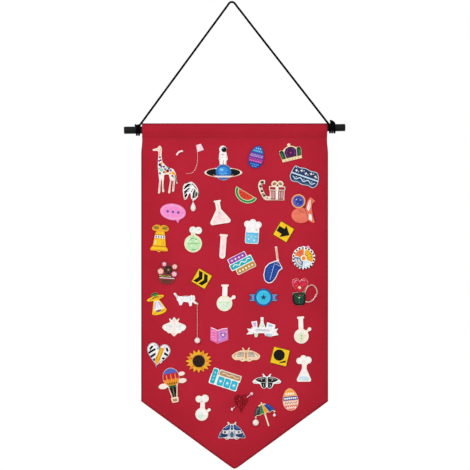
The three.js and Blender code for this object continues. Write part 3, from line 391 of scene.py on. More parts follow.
def swung(x, y, turn):
    """Place turned about the origin."""
    return x * math.cos(turn) - y * math.sin(turn), x * math.sin(turn) + y * math.cos(turn)


def joined(a, b, n):
    """Faces between two rings of n points, numbered from a and from b."""
    return [(a + i, a + (i + 1) % n, b + (i + 1) % n, b + i) for i in range(n)]


def rings(loops, wrap=False):
    """Equal rings of points joined one after another, with closed ends or round to the first."""
    count, n = len(loops), len(loops[0])
    faces = []
    for k in range(count if wrap else count - 1):
        faces += joined(k * n, (k + 1) % count * n, n)
    if not wrap:
        faces += [tuple(reversed(range(n))), tuple(range((count - 1) * n, count * n))]
    return [p for loop in loops for p in loop], faces


def turned(profile, sides, spot=(0, 0)):
    """Turned form about z from pairs of radius and height."""
    x, y = spot
    return rings([[(x + r * math.cos(a), y + r * math.sin(a), z) for a in turns(sides)] for r, z in profile])


def lengths(line):
    """Length of a line up to each of its points."""
    return np.concatenate([[0], np.cumsum(np.linalg.norm(np.diff(line, axis=0), axis=1))])


def mixed(u, start, end, a, b):
    """Mix of two points that runs from a at the start to b at the end."""
    return ((end - u) * a + (u - start) * b) / (end - start)


def smooth(points, step):
    """Points at even steps on a curve through the given points, and its length."""
    p = np.asarray(points, dtype=float)
    p = np.vstack([2 * p[0] - p[1], p, 2 * p[-1] - p[-2]])
    out = []
    for k in range(1, len(p) - 2):
        near = p[k - 1:k + 3]
        gaps = np.linalg.norm(np.diff(near, axis=0), axis=1)
        t = np.concatenate([[0], np.cumsum(np.maximum(gaps, LEAST_GAP) ** 0.5)])
        count = max(2, int(gaps[1] / (step * FINE_STEP)))
        u = t[1] + np.linspace(0, 1, count, endpoint=False)[:, None] * (t[2] - t[1])
        first, second, third = [mixed(u, t[i], t[i + 1], near[i], near[i + 1]) for i in range(3)]
        before, after = mixed(u, t[0], t[2], first, second), mixed(u, t[1], t[3], second, third)
        out.append(mixed(u, t[1], t[2], before, after))
    line = np.vstack(out + [p[-2]])
    far = lengths(line)
    marks = np.linspace(0, far[-1], max(2, int(round(far[-1] / step)) + 1))
    return np.stack([np.interp(marks, far, line[:, k]) for k in range(line.shape[1])], axis=1), far[-1]


def frames(line):
    """Two directions across a line at each of its points, without twist."""
    along = np.gradient(line, axis=0)
    along /= np.linalg.norm(along, axis=1)[:, None]
    side = np.cross(along[0], OFF_AXIS)
    sides = []
    for t in along:
        side = side - t * side.dot(t)
        side /= np.linalg.norm(side)
        sides.append(side)
    return sides, np.cross(along, sides)


def tube(line, radius, sides, section=None):
    """Tube along a line, with rounded ends; section gives the share of the radius at an angle and length."""
    one, two = frames(line)
    angles = np.array(turns(sides))
    loops = []
    for k, (p, far) in enumerate(zip(line, lengths(line))):
        share = section(angles, far) if section else np.ones(sides)
        near = min(k, len(line) - 1 - k)
        if near < len(END_SHARES):
            share = share * END_SHARES[near]
        ring = np.outer(np.cos(angles), one[k]) + np.outer(np.sin(angles), two[k])
        loops.append(p + radius * share[:, None] * ring)
    return rings(loops)


# Cord: one length from the turns at the left end of the dowel, over its peak, to those at the right
CORD_ROUTE = [
    (-147.65, -7.4, -197.2), (-146, -7.3, -194.94), (-130, -6.5, -172.97), (-110, -5.47, -145.5),
    (-90, -4.43, -118.03), (-70, -3.4, -90.56), (-50, -2.36, -63.1), (-30, -1.33, -35.63),
    (-15, -0.55, -15.03), (-8.5, -0.2, -6.1), (-4.85, 0, -0.82), (-2.6, 0, 1.06), (0, 0, 1.65),
    (2.55, 0, 1.08), (4.73, 0, -0.66), (8.5, -0.2, -5.75), (15, -0.52, -14.09), (29.8, -1.26, -33.35),
    (49.65, -2.24, -59.01), (69.5, -3.22, -84.67), (89.4, -4.21, -110.34), (109.2, -5.19, -136),
    (129.1, -6.17, -161.66), (148.95, -7.15, -187.33), (152.4, -7.33, -191.82), (155.2, -7.47, -195.4),
]
CORD_DIAMETER = 3.44
TURN_GAP = 0.13
TURN_RADIUS = DOWEL_RADIUS + CORD_DIAMETER / 2 + TURN_GAP
TURN_PITCH = 3.7
TURN_STEP = 15
LEG_LEAD = 3.6
# Distance of each leg from the cloth, and degrees of its turns
LEFT_LEG = 2.5
LEFT_TURNS = 630
RIGHT_LEG = 2.2
RIGHT_TURNS = 900
BRAID_LAY = 9.0
BRAID_DEPTH = 0.03
BRAID_STRANDS = 4
CORD_SIDES = 20
CORD_STEP = 0.6
PATH_STEP = 1.6


def wrap_route(leg, side, last_angle, tail):
    """Points from the foot of a leg of the cord round one end of the dowel, and its tail."""
    start = BANNER_OFFSET + side * (HALF + leg)
    height = axis_height(start + side * TURN_PITCH)
    near, after = [Vector(p) for p in (CORD_ROUTE[:2] if side < 0 else CORD_ROUTE[:-3:-1])]
    points = [tuple(near + (near - after).normalized() * LEG_LEAD)]
    for angle in range(TURN_STEP, last_angle + 1, TURN_STEP):
        turn = math.radians(angle)
        along = start + side * TURN_PITCH * angle / 360
        points.append((along, -TURN_RADIUS * math.cos(turn), height - TURN_RADIUS * math.sin(turn)))
    end = points[-1][0]
    return points + [(end + side * x, y, height + z) for x, y, z in tail]


def braid(angles, far):
    """Share of the cord's radius, with strands that cross each other."""
    lean = 2 * math.pi * far / BRAID_LAY
    there, back = [np.cos(BRAID_STRANDS * (angles + way * lean)) for way in (1, -1)]
    return 1.0 + BRAID_DEPTH * there * back


left_turns = wrap_route(LEFT_LEG, -1, LEFT_TURNS, [(0.1, -1.5, TURN_RADIUS), (0.2, -3.2, TURN_RADIUS)])
right_turns = wrap_route(RIGHT_LEG, 1, RIGHT_TURNS, [
    (0, TURN_RADIUS, 3), (-0.15, TURN_RADIUS, 5.5), (-1.15, TURN_RADIUS, 8.5), (-3.25, TURN_RADIUS, 10.4),
    (-5.85, TURN_RADIUS, 11.5), (-8.2, TURN_RADIUS, 12.3)])
cord_points = left_turns[::-1] + CORD_ROUTE + right_turns
cord_line, cord_length = smooth(cord_points, CORD_STEP)
cord_piece = Piece("cord")
cord_piece.add(*tube(cord_line, CORD_DIAMETER / 2, CORD_SIDES, braid), cord_material())
cord = cord_piece.build(Matrix.Identity(4), crease=60)
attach(cord, "hanger")
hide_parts("hanger_cord", "left_wrap", "right_wrap")
cord_path = [tuple(MM * v for v in p) for p in smooth(cord_points, PATH_STEP)[0]]
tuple(cord_path[0])

# Dowel: painted wood with eased ends, given as distance in from the end and radius
DOWEL_EASE = [(0, 0.0), (0, 3.2), (0.05, 4.9), (0.3, 5.6), (0.75, 5.93), (1.3, 6.0)]
DOWEL_STATIONS = 58
DOWEL_SIDES = 40
END_REACH = 6
PAINT_DIP = 0.04
LEAST_RADIUS = 0.02


def dowel_loops():
    half = DOWEL_LENGTH / 2
    stations = [(x - half, r) for x, r in DOWEL_EASE]
    stations += [(x, DOWEL_RADIUS) for x in np.linspace(END_REACH - half, half - END_REACH, DOWEL_STATIONS)]
    stations += [(half - x, r) for x, r in DOWEL_EASE[::-1]]
    loops = []
    for x, radius in stations:
        ring = []
        for a in turns(DOWEL_SIDES):
            wave = 0.03 * math.sin(x * 0.11 + 3 * a) + 0.02 * math.sin(x * 0.37 - 2 * a)
            r = max(radius - PAINT_DIP + wave, LEAST_RADIUS)
            ring.append((x, r * math.cos(a), r * math.sin(a)))
        loops.append(ring)
    return loops


dowel_piece = Piece("dowel_rod")
dowel_piece.add(*rings(dowel_loops()), dowel_material())
dowel_middle = Matrix.Translation((BANNER_OFFSET, 0, axis_height(BANNER_OFFSET)))
dowel = dowel_piece.build(dowel_middle @ Matrix.Rotation(-DOWEL_TILT, 4, "Y"), crease=50)
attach(dowel, "dowel")
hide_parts("dowel")

# Flat outlines
LEAST_STEP = 0.04
MITRE_LIMIT = 0.3
CORNER_GAIN = 1.2
CORNER_REACH = 0.48
SHARP = 0.35
MILD = 1.0
SOFT = 2.0
LINE_STEP = 0.6
PATCH_TURN = 40


def area(points):
    return 0.5 * sum(a[0] * b[1] - b[0] * a[1] for a, b in zip(points, points[1:] + points[:1]))


def ccw(points):
    return points if area(points) > 0 else points[::-1]


def tidy(points, least=LEAST_STEP):
    """Outline without points that lie too near each other."""
    out = []
    for p in points:
        if not out or math.dist(p, out[-1]) > least:
            out.append((p[0], p[1]))
    while len(out) > 3 and math.dist(out[0], out[-1]) <= least:
        out.pop()
    return out


def moved(points, distance):
    """Closed outline moved to its left by a distance."""
    if not distance:
        return points
    out = []
    n = len(points)
    for i in range(n):
        a, p, c = Vector(points[i - 1]), Vector(points[i]), Vector(points[(i + 1) % n])
        d1, d2 = (p - a).normalized(), (c - p).normalized()
        n1, n2 = Vector((-d1.y, d1.x)), Vector((-d2.y, d2.x))
        q = p + (n1 + n2) * (distance / max(1 + n1.dot(n2), MITRE_LIMIT))
        out.append((q.x, q.y))
    return out


def inset(points, distance):
    return moved(ccw(tidy(points)), distance)


def rounded(corners, place, least):
    """Closed outline through corners, each eased by its own radius or by the least one."""
    middles = [Vector(place(c[0], c[1])) for c in corners]
    out = []
    for i, corner in enumerate(corners):
        radius = max(corner[2] * CORNER_GAIN if len(corner) > 2 else 0, least)
        p, a, c = middles[i], middles[i - 1], middles[(i + 1) % len(middles)]
        reach = min(radius, (a - p).length * CORNER_REACH, (c - p).length * CORNER_REACH)
        start, end = p + (a - p).normalized() * reach, p + (c - p).normalized() * reach
        steps = 2 if reach < 0.35 else 4 if reach < 1.2 else 6
        for k in range(steps + 1):
            t = k / steps
            q = start * (1 - t) ** 2 + p * (2 * t * (1 - t)) + end * t ** 2
            out.append((q.x, q.y))
    return tidy(out)


def half_plane(points, height, side):
    """Part of an outline above a height, or below it where side is -1."""
    kept = []
    for p, q in zip(points, points[1:] + points[:1]):
        here, there = (p[1] - height) * side, (q[1] - height) * side
        if here >= 0:
            kept.append(p)
        if here * there < 0:
            t = here / (here - there)
            kept.append((p[0] + (q[0] - p[0]) * t, p[1] + (q[1] - p[1]) * t))
    return kept


def ribbon(path, width, taper=1.0):
    """Outline of a line of even width, or one that narrows to a share of it."""
    left, right = [], []
    last = len(path) - 1
    for i, p in enumerate(path):
        a, c = Vector(path[max(i - 1, 0)]), Vector(path[min(i + 1, last)])
        d = (c - a).normalized() * (width / 2) * (1 - (1 - taper) * i / last)
        left.append((p[0] - d.y, p[1] + d.x))
        right.append((p[0] + d.y, p[1] - d.x))
    return left + right[::-1]


def spots(text):
    """Points written as x,y or, with a rounding radius, as x,y,r."""
    if not isinstance(text, str):
        return text
    return [tuple(float(v) for v in word.split(",")) for word in text.split()]


def paths(text):
    """Lists of points with an upright stroke between one and the next."""
    return [spots(part) for part in text.split("|")] if isinstance(text, str) else [text]


def flip(points):
    """Corners mirrored about the middle of the board."""
    return [(100 - c[0], *c[1:]) for c in points]


def each(shapes):
    """Single shapes out of shapes and lists of shapes."""
    for shape in shapes:
        yield from each(shape) if isinstance(shape[0], list) else [shape]


class Board:
    """Drawing board of one pin, in hundredths of its width and height, with all that is drawn on it."""

    def __init__(self, width, height):
        self.width = width
        self.height = height
        self.cells = []
        self.marks = []
        self.stones = []
        self.wires = []

    def plate(self, base, posts, *edges, lugs=""):
        self.base = base
        self.posts = spots(posts)
        self.edges = list(each(edges))
        self.lugs = spots(lugs)

    def cell(self, colour, *shapes):
        self.cells += [(shape, colour) for shape in each(shapes)]

    def mark(self, colour, *shapes):
        self.marks.append((list(each(shapes)), colour))

    def stone(self, colour, *shapes):
        self.stones += [(shape, colour) for shape in each(shapes)]

    def wire(self, metal, radius, text):
        self.wires.append(([self.place(*p) for p in spots(text)], radius, metal))

    def place(self, x, y):
        return ((x / 100 - 0.5) * self.width, (y / 100 - 0.5) * self.height)

    def poly(self, text, least=SHARP):
        return rounded(spots(text), self.place, least)

    def mild(self, text):
        return self.poly(text, MILD)

    def soft(self, text):
        return self.poly(text, SOFT)

    def polys(self, text, least=SHARP):
        return [self.poly(path, least) for path in paths(text)]

    def pair(self, text, least=SHARP):
        """Outlines, each followed by its mirror image."""
        return [self.poly(corners, least) for path in paths(text) for corners in (path, flip(path))]

    def mirrored(self, text):
        """Outline of a right half together with its mirror image."""
        half = spots(text)
        return self.soft(half + [c for c in flip(half)[::-1] if c[0] != 50])

    def bar(self, left, low, right, high):
        return self.poly([(left, low, 2), (right, low, 2), (right, high, 2), (left, high, 2)])

    def oval(self, x, y, rx, ry, tilt=0):
        cx, cy = self.place(x, y)
        rx, ry = rx * self.width / 100, ry * self.height / 100
        count = max(10, min(40, int(9 * math.sqrt(max(rx, ry)))))
        ring = [swung(rx * math.cos(a), ry * math.sin(a), math.radians(tilt)) for a in turns(count)]
        return [(cx + x, cy + y) for x, y in ring]

    def disc(self, x, y, r):
        return self.oval(x, y, r, r * self.width / self.height)

    def patches(self, rx, ry, text):
        """Small ovals, each turned its own way."""
        return [self.oval(x, y, rx, ry, PATCH_TURN * k) for k, (x, y) in enumerate(spots(text))]

    def dots(self, r, text):
        """Round dots with a radius in millimetres."""
        return [self.disc(x, y, r * 100 / self.width) for x, y in spots(text)]

    def arc(self, x, y, rx, ry, start, end):
        """Points of a bow, for a line along it."""
        angles = np.radians(np.linspace(start, end, 13))
        return [(x + rx * math.cos(a), y + ry * math.sin(a)) for a in angles]

    def line(self, width, text, taper=1.0):
        """Lines with a width in millimetres, one for each path."""
        out = []
        for path in paths(text):
            path = [self.place(*p) for p in path]
            if len(path) > 2:
                path = [tuple(p) for p in smooth(path, LINE_STEP)[0]]
            out.append(ribbon(path, width, taper))
        return out

    def both(self, width, text, taper=1.0):
        """Lines, each followed by its mirror image."""
        return [self.line(width, half, taper) for path in paths(text) for half in (path, flip(path))]

    def strip(self, across, text):
        return self.line(across * self.width / 100, text)

    def ring(self, shape, from_edge, width):
        """Closed line of even width inside an outline."""
        return ("ring", inset(shape, from_edge), width)

    def wedge(self, x, y, inner, outer, start, end):
        cx, cy = self.place(x, y)
        angles = np.radians(np.linspace(start, end, max(3, int((end - start) / 7)) + 1))
        far, near = [[(cx + r * math.cos(a), cy + r * math.sin(a)) for a in angles]
                     for r in (outer * self.width / 100, inner * self.width / 100)]
        return tidy(far + near[::-1])

    def star(self, count, deep, soft):
        corners = []
        for i, a in enumerate(turns(2 * count)):
            reach = 50 - deep if i % 2 else 50
            corners.append((50 + reach * math.sin(a), 50 + reach * math.cos(a)))
        return rounded(corners, self.place, soft)

    def spark(self, x, y, r, points=5, share=0.42):
        """Small plain star, with its radius in millimetres."""
        cx, cy = self.place(x, y)
        out = []
        for i, a in enumerate(turns(2 * points)):
            reach = r * (share if i % 2 else 1)
            out.append((cx + reach * math.sin(a), cy + reach * math.cos(a)))
        return out

    def egg(self):
        return [self.place(50 + 50 * math.sin(a) * (1 - 0.16 * math.cos(a)), 50 + 50 * math.cos(a))
                for a in turns(48)]

    def heart(self, left, low, right, high):
        out = []
        for t in turns(56):
            up = 13 * math.cos(t) - 5 * math.cos(2 * t) - 2 * math.cos(3 * t) - math.cos(4 * t)
            x = (left + right) / 2 + (right - left) / 2 * math.sin(t) ** 3
            out.append(self.place(x, low + (high - low) * (up + 17) / 28.9))
        return tidy(out)

    def cut(self, points, low, high):
        """Part of an outline between two heights."""
        above = half_plane(points, self.place(0, low)[1], 1)
        return tidy(half_plane(above, self.place(0, high)[1], -1))

    def zigzag(self, width, y, rise, count, left, right):
        """Zigzag line across the board, with its width in millimetres."""
        corners = []
        for i in range(count + 1):
            corners.append(self.place(left + (right - left) * i / count, y + (rise if i % 2 else -rise)))
        return ribbon(corners, width)


PINS = []


def pin(across, down, width, height, turn=0):
    """Places a design: across from the cloth's centre line, down from its top edge, turned in degrees."""
    def placed(design):
        PINS.append((design, across, down, width, height, turn))
        return design
    return placed


# Designs: plate with its posts and edge, enamel cells, raised marks in order, domed stones


@pin(-113.5, 75.5, 41, 78)
def giraffe(b):
    b.plate("blushwhite", "31,64 70,46", b.soft("0,92 20,95 27,100 33,99 38,94 36,78 40,65 59,55 83,51 "
            "93,42 100,20 95,21 91,33 86,4 78,3.5 82,26 77,27 70,0 62,0.5 70,27 66,39 55,40 46,38 45.5,25 "
            "47,3 39,2.5 37.5,26 36,29 30,0 22,0 27,26 25,37 21,55 22,69 24,82 22,89 2,89"))
    b.cell("navy", b.oval(30, 60, 6, 3.2))
    b.cell("mint", b.oval(36, 49, 7, 3.6))
    b.cell("maroon", b.oval(60, 47, 7, 3.4))
    b.cell("amber", b.oval(82, 43, 5.5, 3.4))
    b.mark("blush", b.mild("3,90.3 20,93 27.5,98 32.5,97.4 36,93 34.4,80 25.6,80 25.4,88 22,90.4"),
           b.line(1.6, "26.2,2 31,27 | 43,5 41.6,30 | 66.3,2 73.5,30 | 82.2,6 86.5,33"))
    b.mark("violet", b.patches(5, 2.2, "27,68 36,56 73,48 50,50.5"))
    b.mark("navy", b.patches(4.6, 2.1, "29.5,75.5 46,56 66,52 30,42"))
    b.mark("maroon", b.patches(4.4, 2, "33,69.5 46,44.5 79,36.5"))
    b.mark("amber", b.patches(4.8, 2.2, "53,44.5 71,42 88,40 36.5,62.5"))
    b.mark("mint", b.patches(4.2, 1.9, "26.5,52 58,53.5 85,34"))
    b.mark("coral", b.patches(2.6, 1.1, "27.5,86 31.5,91 28,80.5"),
           b.line(0.5, "28,10 30,20 | 43,10 42.4,20 | 69,10 71,20 | 83.5,12 85,22"))
    b.mark("brown", b.line(1.6, "91,38 95,29 97,23", 0.6), b.dots(0.55, "19,92"),
           b.line(0.5, "35.5,30 32,8 | 45.3,27 45.6,8 | 76.6,29 72,8 | 85,28 84,10"))


@pin(-89.5, 48.5, 12, 9)
def crescent(b):
    b.plate("palepink", "38,62", b.strip(23.3, "6,8 24,48 52,76 94,86"))
    b.mark("white", b.line(0.9, "14,22 30,50 54,72 82,82"))


@pin(-56.5, 40.5, 13, 15.5)
def kite(b):
    edge = b.poly("1,80 60,96 100,30 12,6")
    b.plate("palepink", "45,52", edge)
    b.cell("candy", inset(edge, RIM))
    b.mark("white", b.line(0.6, "10,44 78,60 | 34,82 54,24"))
    b.mark("lilac", b.dots(0.9, "28,62 62,46"))
    b.wire("rosegold", 0.28, "18,12 18.5,-75 5.4,-138 -26,-191 -63,-215 -126,-218")


@pin(-18.5, 65, 62, 57)
def planet(b):
    globe = b.disc(50.5, 23.6, 21)
    suit = b.poly("40,82,2 58,82,2 62,60,1.5 58,56 59,40,1.5 53,40,1.5 50,52 47,40,1.5 41,40,1.5 40,56 "
                  "38,60,1.5")
    b.plate("white", "50,24 50,66", globe, b.oval(50, 22.8, 50, 14.3), b.disc(49.2, 88.9, 10), suit)
    inner = inset(globe, RIM)
    b.cell("black", b.disc(52, 88.5, 7), b.pair("4.5,22.8,1 8,28,1 14,30.6 21,32.6 29.3,33.8 28.3,28 28,22 "
           "28.6,17.5 29.8,12.2 21,13 14,15.3 8,18,1"))
    b.cell("blue", b.cut(inner, 13.5, 60))
    b.cell("royal", b.cut(inner, 0, 8.5))
    b.mark("black", b.pair("5.6,22.8,1 9,27.2,1 15,29.8 22,31.8 31.2,33.2 30.6,28 30.4,20 31.8,12.8 22,13.8 "
           "15,16 9,18.6,1"))
    b.mark("blue", b.cut(inset(globe, 0.3), 13.8, 60))
    b.mark("royal", b.cut(inset(globe, 0.3), 0, 8.8))
    b.mark("azure", b.oval(49, 29, 13, 10))
    b.mark("sky", b.oval(46, 31, 5, 4), b.line(0.9, "38,21 48,18 61,21"), b.line(0.8, "44,5 52,3.6 58,5"))
    b.mark("peach", b.line(0.9, b.arc(50, 22.8, 48.6, 12.8, 118, 242)),
           b.line(0.9, b.arc(50, 22.8, 48.6, 12.8, -62, 62)),
           b.line(0.8, b.arc(50, 24.5, 34, 13.4, 218, 322)), b.line(1, "57,76 59,62"),
           b.line(0.9, "56.5,54 57,43"))
    b.mark("pale", b.line(0.6, "41.5,72 41.5,60 | 42,66 57,66"))
    b.mark("black", b.line(0.7, "50,50 50,58 | 45,74 52,74"), b.line(0.9, "42,45 47,45 | 53,45 58,45"),
           b.line(0.6, "39.5,60 42,62"))
    b.mark("sky", b.line(0.7, "47.5,90 49.5,92.5 52,93.2"))


def egg(b, base, bands, lines):
    """Egg with four bands of colour and lines of dots or zigzags across them."""
    edge = b.egg()
    b.plate(base, "50,45", edge)
    for (low, high), colour in zip(((68, 99), (47, 64), (27, 43), (1, 23)), bands):
        b.cell(colour, b.cut(inset(edge, RIM), low, high))
    for kind, colour, y, size, left, right in lines:
        if kind == "zigzag":
            b.mark(colour, b.zigzag(size, y, 4, 9, left, right))
        else:
            xs = np.linspace(left, right, int((right - left) / 12) + 1)
            b.mark(colour, b.dots(size, [(x, y) for x in xs]))


@pin(35.5, 55, 24.5, 37.5, -14)
def blue_egg(b):
    egg(b, "royal", ("blue", "berry", "magenta", "royal"), (
        ("dots", "sky", 76, 1.25, 26, 74), ("dots", "paleblue", 87, 1, 36, 64),
        ("zigzag", "sky", 57, 1, 8, 92), ("dots", "lilac", 51.5, 0.8, 14, 86),
        ("zigzag", "violet", 37, 1.3, 8, 92), ("dots", "pink", 31, 0.8, 14, 86),
        ("dots", "azure", 17, 1.4, 26, 74), ("dots", "sky", 8, 0.9, 38, 62)))


@pin(91, 47, 37, 30, 13)
def crown(b):
    b.plate("champagne", "50,40", b.poly("6,4 94,4 94,18 100,58,2 92,74,2 82,66,1.5 72,76,1.5 56,84,1.5 "
            "44,84,1.5 28,76,1.5 18,66,1.5 8,74,2 0,58,2 6,18"), b.disc(50, 90, 7))
    b.cell("plum", b.poly("27,21 73,21 77,56,1.5 67,73,1.5 50,80,1.5 33,73,1.5 23,56,1.5"))
    b.cell("forest", b.pair("8.5,21.5 23.5,20.5 19.8,57 17.5,62 9.5,69.5 3,58"))
    b.cell("cream", b.disc(50, 91, 4))
    b.mark("forest", b.pair("7,20.5 24.6,19.5 21,58 18.3,64 9.2,72 1.4,58.5"))
    b.mark("green", b.both(1.6, "13,26 10.5,54"))
    b.mark("violet", b.both(0.9, "36,28 32,52 40,68"))
    b.mark("magenta", b.spark(50, 46, 2.2))
    b.mark("gold", b.line(0.7, "8,19 50,17.5 92,19"))
    b.stone("red", b.dots(0.9, "22,10 50,10 78,10"))
    b.stone("green", b.dots(0.9, "36,10 64,10"))
    b.stone("pearl", b.disc(50, 91, 3.6))


@pin(114.5, 87.5, 48, 28, -19)
def navy_plaque(b):
    edge = b.poly("0,24,4 12,0,3 30,8,3 50,0,3 70,8,3 88,0,3 100,26,4 97,72,4 84,100,4 64,92,3 44,100,3 "
                  "24,92,3 6,98,4 1,60,3")
    b.plate("paleblue", "25,50 75,50", edge)
    inner = inset(edge, RIM)
    b.cell("navy", b.cut(inner, 54, 100), b.cut(inner, 0, 46))
    b.mark("white", [b.spark(x, 74 + (4 if i % 2 else -4), 3, 4, 0.36)
           for i, x in enumerate((16, 33, 50, 67, 84))], b.dots(0.8, "24,66 41,82 58,66 75,82 12,86 90,66"))
    b.mark("paleblue", b.line(1.5, "10,34 22,22 36,36 50,22 64,36 78,22 90,34"),
           b.dots(0.9, "22,34 50,34 78,34"))
    b.mark("slate", b.line(1.1, "14,14 36,16 64,16 86,14"))


@pin(-71.5, 110.5, 28.5, 31.5)
def zebra(b):
    b.plate("white", "46,70", b.soft("6,75 16,88 30,96 48,99 64,93 78,80 90,62 97,40 92,22 74,3 52,8 50,34 "
            "44,42 36,28 26,6 12,4 8,26 4,52"), lugs="64,1")
    b.cell("black", b.polys("13,72 34,88 56,86 40,78 18,62 | 11,48 38,66 50,64 36,56 14,38 | "
           "13,26 26,38 32,30 24,18 15,14 | 58,12 62,40 74,66 76,52 68,12 | 76,14 82,46 89,40 86,24 | "
           "66,82 82,66 86,56 76,66", 0.5))
    b.mark("black", b.line(1.6, "20,89 34,95 50,96", 0.4), b.line(2.1, "10,60 30,72 54,77", 0.3),
           b.line(2, "12,33 30,47 45,51", 0.3), b.line(1.4, "14,9 24,13", 0.5),
           b.line(1.5, "72,14 78.5,44 80,57", 0.4), b.line(1.7, "56,88 68,77 75,67", 0.3),
           b.line(1.2, "91.5,26 93,40 89.5,54", 0.5), b.line(1.6, "53.5,44 58,54 66,64", 0.4))


@pin(15.4, 120, 39, 17.5, -31)
def melon(b):
    def bow(share, start, end):
        return [b.place(50 - 50 * share * math.cos(a), 97 - 97 * share * math.sin(a))
                for a in np.linspace(start, end, 33)]

    b.plate("palegreen", "50,45", bow(1, 0, math.pi))
    b.cell("green", bow(0.94, 0.06, math.pi - 0.06) + bow(0.77, 0.07, math.pi - 0.07)[::-1])
    b.cell("melon", bow(0.7, 0.06, math.pi - 0.06))
    b.mark("forest", [ribbon([bow(s, a, a + 1)[0] for s in (0.79, 0.9)], 0.8)
           for a in np.linspace(0.35, 2.8, 11)])
    for s, a in ((0.52, 0.6), (0.52, 1.15), (0.52, 1.7), (0.52, 2.3), (0.3, 0.9), (0.3, 1.6), (0.3, 2.3)):
        b.stone("black", b.oval(50 - 50 * s * math.cos(a), 97 - 97 * s * math.sin(a), 1.7, 5.2,
                90 - math.degrees(a)))


@pin(60.5, 109, 44, 34)
def gift(b):
    b.plate("cream", "69,30", b.polys("44,2 96,0 98,52 42,54 | 40,49,1 100,47,1 100,67,1 40,69,1"),
            b.oval(60, 80, 12, 14, 25), b.oval(82, 80, 12, 14, -25),
            b.strip(14.5, "50,12 28,12 14,40 7,70 12,88 25,88"))
    b.cell("crimson", b.polys("47,6 64,5 64,46 46,47 | 74,5 93,4 95,46 74,46"))
    b.cell("tan", b.oval(60, 80, 8, 8, 25), b.oval(82, 80, 8, 8, -25))
    b.cell("brown", b.polys("21,17 30,22 25,31 17,26 | 11,38 20,42 17,52 8,49 | 5,61 14,62 13,73 3,73 | "
           "6,86 14,80 21,81 20,94 12,94"))
    b.mark("crimson", b.polys("43,53 64,52 64,64 43,65 | 75,52 97,51 97,63 75,64"))
    b.mark("white", b.line(1, "51,10 51,43 | 58,10 58,43 | 80,9 80,43 | 88,9 88,43"))
    b.mark("brown", b.line(0.7, "30,10 36,15"), b.line(1, "14,32 21,34 | 6,55 13,56 | 8,78 14,76"),
           b.line(0.6, "42,50 98,48.5"), b.line(0.7, "56,76 62,82 | 86,76 80,82"), b.disc(71, 73, 3))
    b.mark("white", b.line(1.8, "69.5,4 70,64"))


@pin(-100.5, 147, 43, 33)
def bubble(b):
    b.plate("pink", "50,57", b.oval(50, 57, 49, 41, -8), b.poly("56,30 69,0 78,30"))
    inner = b.oval(50, 57, 47, 38.3, -8)
    b.cell("pink", inner)
    b.mark("palepink", b.ring(inner, 1.6, 0.5))
    b.mark("purple", b.dots(2.1, "30,60 50,57 70,54"))


@pin(-25.5, 145, 35.5, 39, 9)
def white_flask(b):
    b.plate("ivory", "50,30", b.poly("34,100,1 66,100,1 66,93,1 61,92 61,62,2 98,12,3 94,0,3 6,0,3 2,12,3 "
            "39,62,2 39,92 34,93,1"))
    b.cell("white", b.poly("44,90 56,90 56,66 44,66"))
    b.cell("skin", b.poly("43,58 57,58 88,13,2 85,6,2 15,6,2 12,13,2"))
    b.mark("palepink", b.line(1, "28,34 40,31 52,35 64,32 73,34"), b.dots(1.3, "40,20 58,16"),
           b.dots(0.8, "50,26 68,22 30,13"))
    b.mark("slate", b.dots(0.55, "48,86 52,82 48,78 53,74 49,70 51,62"),
           b.line(0.5, "47,50 55,50 | 47,44 53,44"))


@pin(112, 139, 40, 49)
def moon_leaf(b):
    moon = b.disc(30, 74, 29)
    b.plate("coral", "38,40", moon, b.oval(40, 27, 39, 26),
            b.soft("58,34 58,50 68,78 80,88 100,74,2 86,66 84,50 88,30 99,4 88,1 66,12"))
    b.cell("indigo", b.disc(30, 74, 23))
    b.cell("salmon", b.oval(36, 27, 31, 20))
    b.cell("white", b.mild("72,14 86,8 83,30 72,32"), b.mild("64,50 72,74 80,80 79,54 72,40"))
    b.mark("gold", b.ring(moon, 0.35, 1.3))
    b.mark("royal", b.oval(33, 71, 14, 10), b.line(1.6, "14,80 26,86 42,84"))
    b.mark("cream", b.spark(22, 80, 1.9, 4, 0.3), b.spark(38, 78, 1.5, 4, 0.3),
           b.spark(28, 66, 1.3, 4, 0.3))
    b.mark("coral", b.line(1, "14,30 30,38 52,36"), b.line(0.9, "20,18 36,14 54,20"),
           b.line(0.8, "72,48 75,62 77,74"))
    b.mark("brown", b.line(0.8, "52,60 57,48 62,36 70,20", 0.6), b.line(1.6, "90,30 94,16 97,6", 0.5),
           b.line(0.6, "30,44 44,40 54,34"))


@pin(29, 176.5, 29, 40, -3)
def beaker(b):
    b.plate("white", "50,30", b.poly("12,74 88,74 88,8,2 84,0,2 14,0,2 10,8,2"), b.disc(20, 79, 19),
            b.disc(50, 86, 20), b.disc(81, 78, 19))
    b.cell("sky", b.poly("14.5,45 85.3,45 85.3,9,2 82,2.4,2 16,2.4,2 13,9,2"))
    b.cell("white", b.poly("17,66 82,66 82,49 17,49"))
    b.mark("cyan", b.line(1.4, "14.6,43.5 34,40 50,43 66,40 85,43.5"))
    b.mark("white", b.dots(1.2, "32,18 62,14"), b.dots(0.8, "46,28 70,30 28,34"))
    b.mark("lilac", b.wedge(20, 79, 11, 13, 60, 190), b.wedge(50, 86, 12, 14, 20, 150),
           b.wedge(81, 78, 11, 13, -30, 100))
    b.mark("slate", b.line(0.5, "66,60 78,60 | 70,54 78,54 | 66,36 78,36 | 70,24 78,24"))


def sign(b, *shapes):
    """Square sign with a dark line round its edge."""
    edge = b.poly("0,0,1.5 100,0,1.5 100,100,1.5 0,100,1.5")
    b.plate("yellow", "50,50", edge)
    b.cell("black", *shapes)
    b.mark("black", b.ring(edge, 0.12, 0.8))


@pin(80, 177, 26.5, 26.5, -31)
def arrow_sign(b):
    sign(b, b.poly("9,32 45,32 45,9 92,50 45,91 45,68 9,68"))


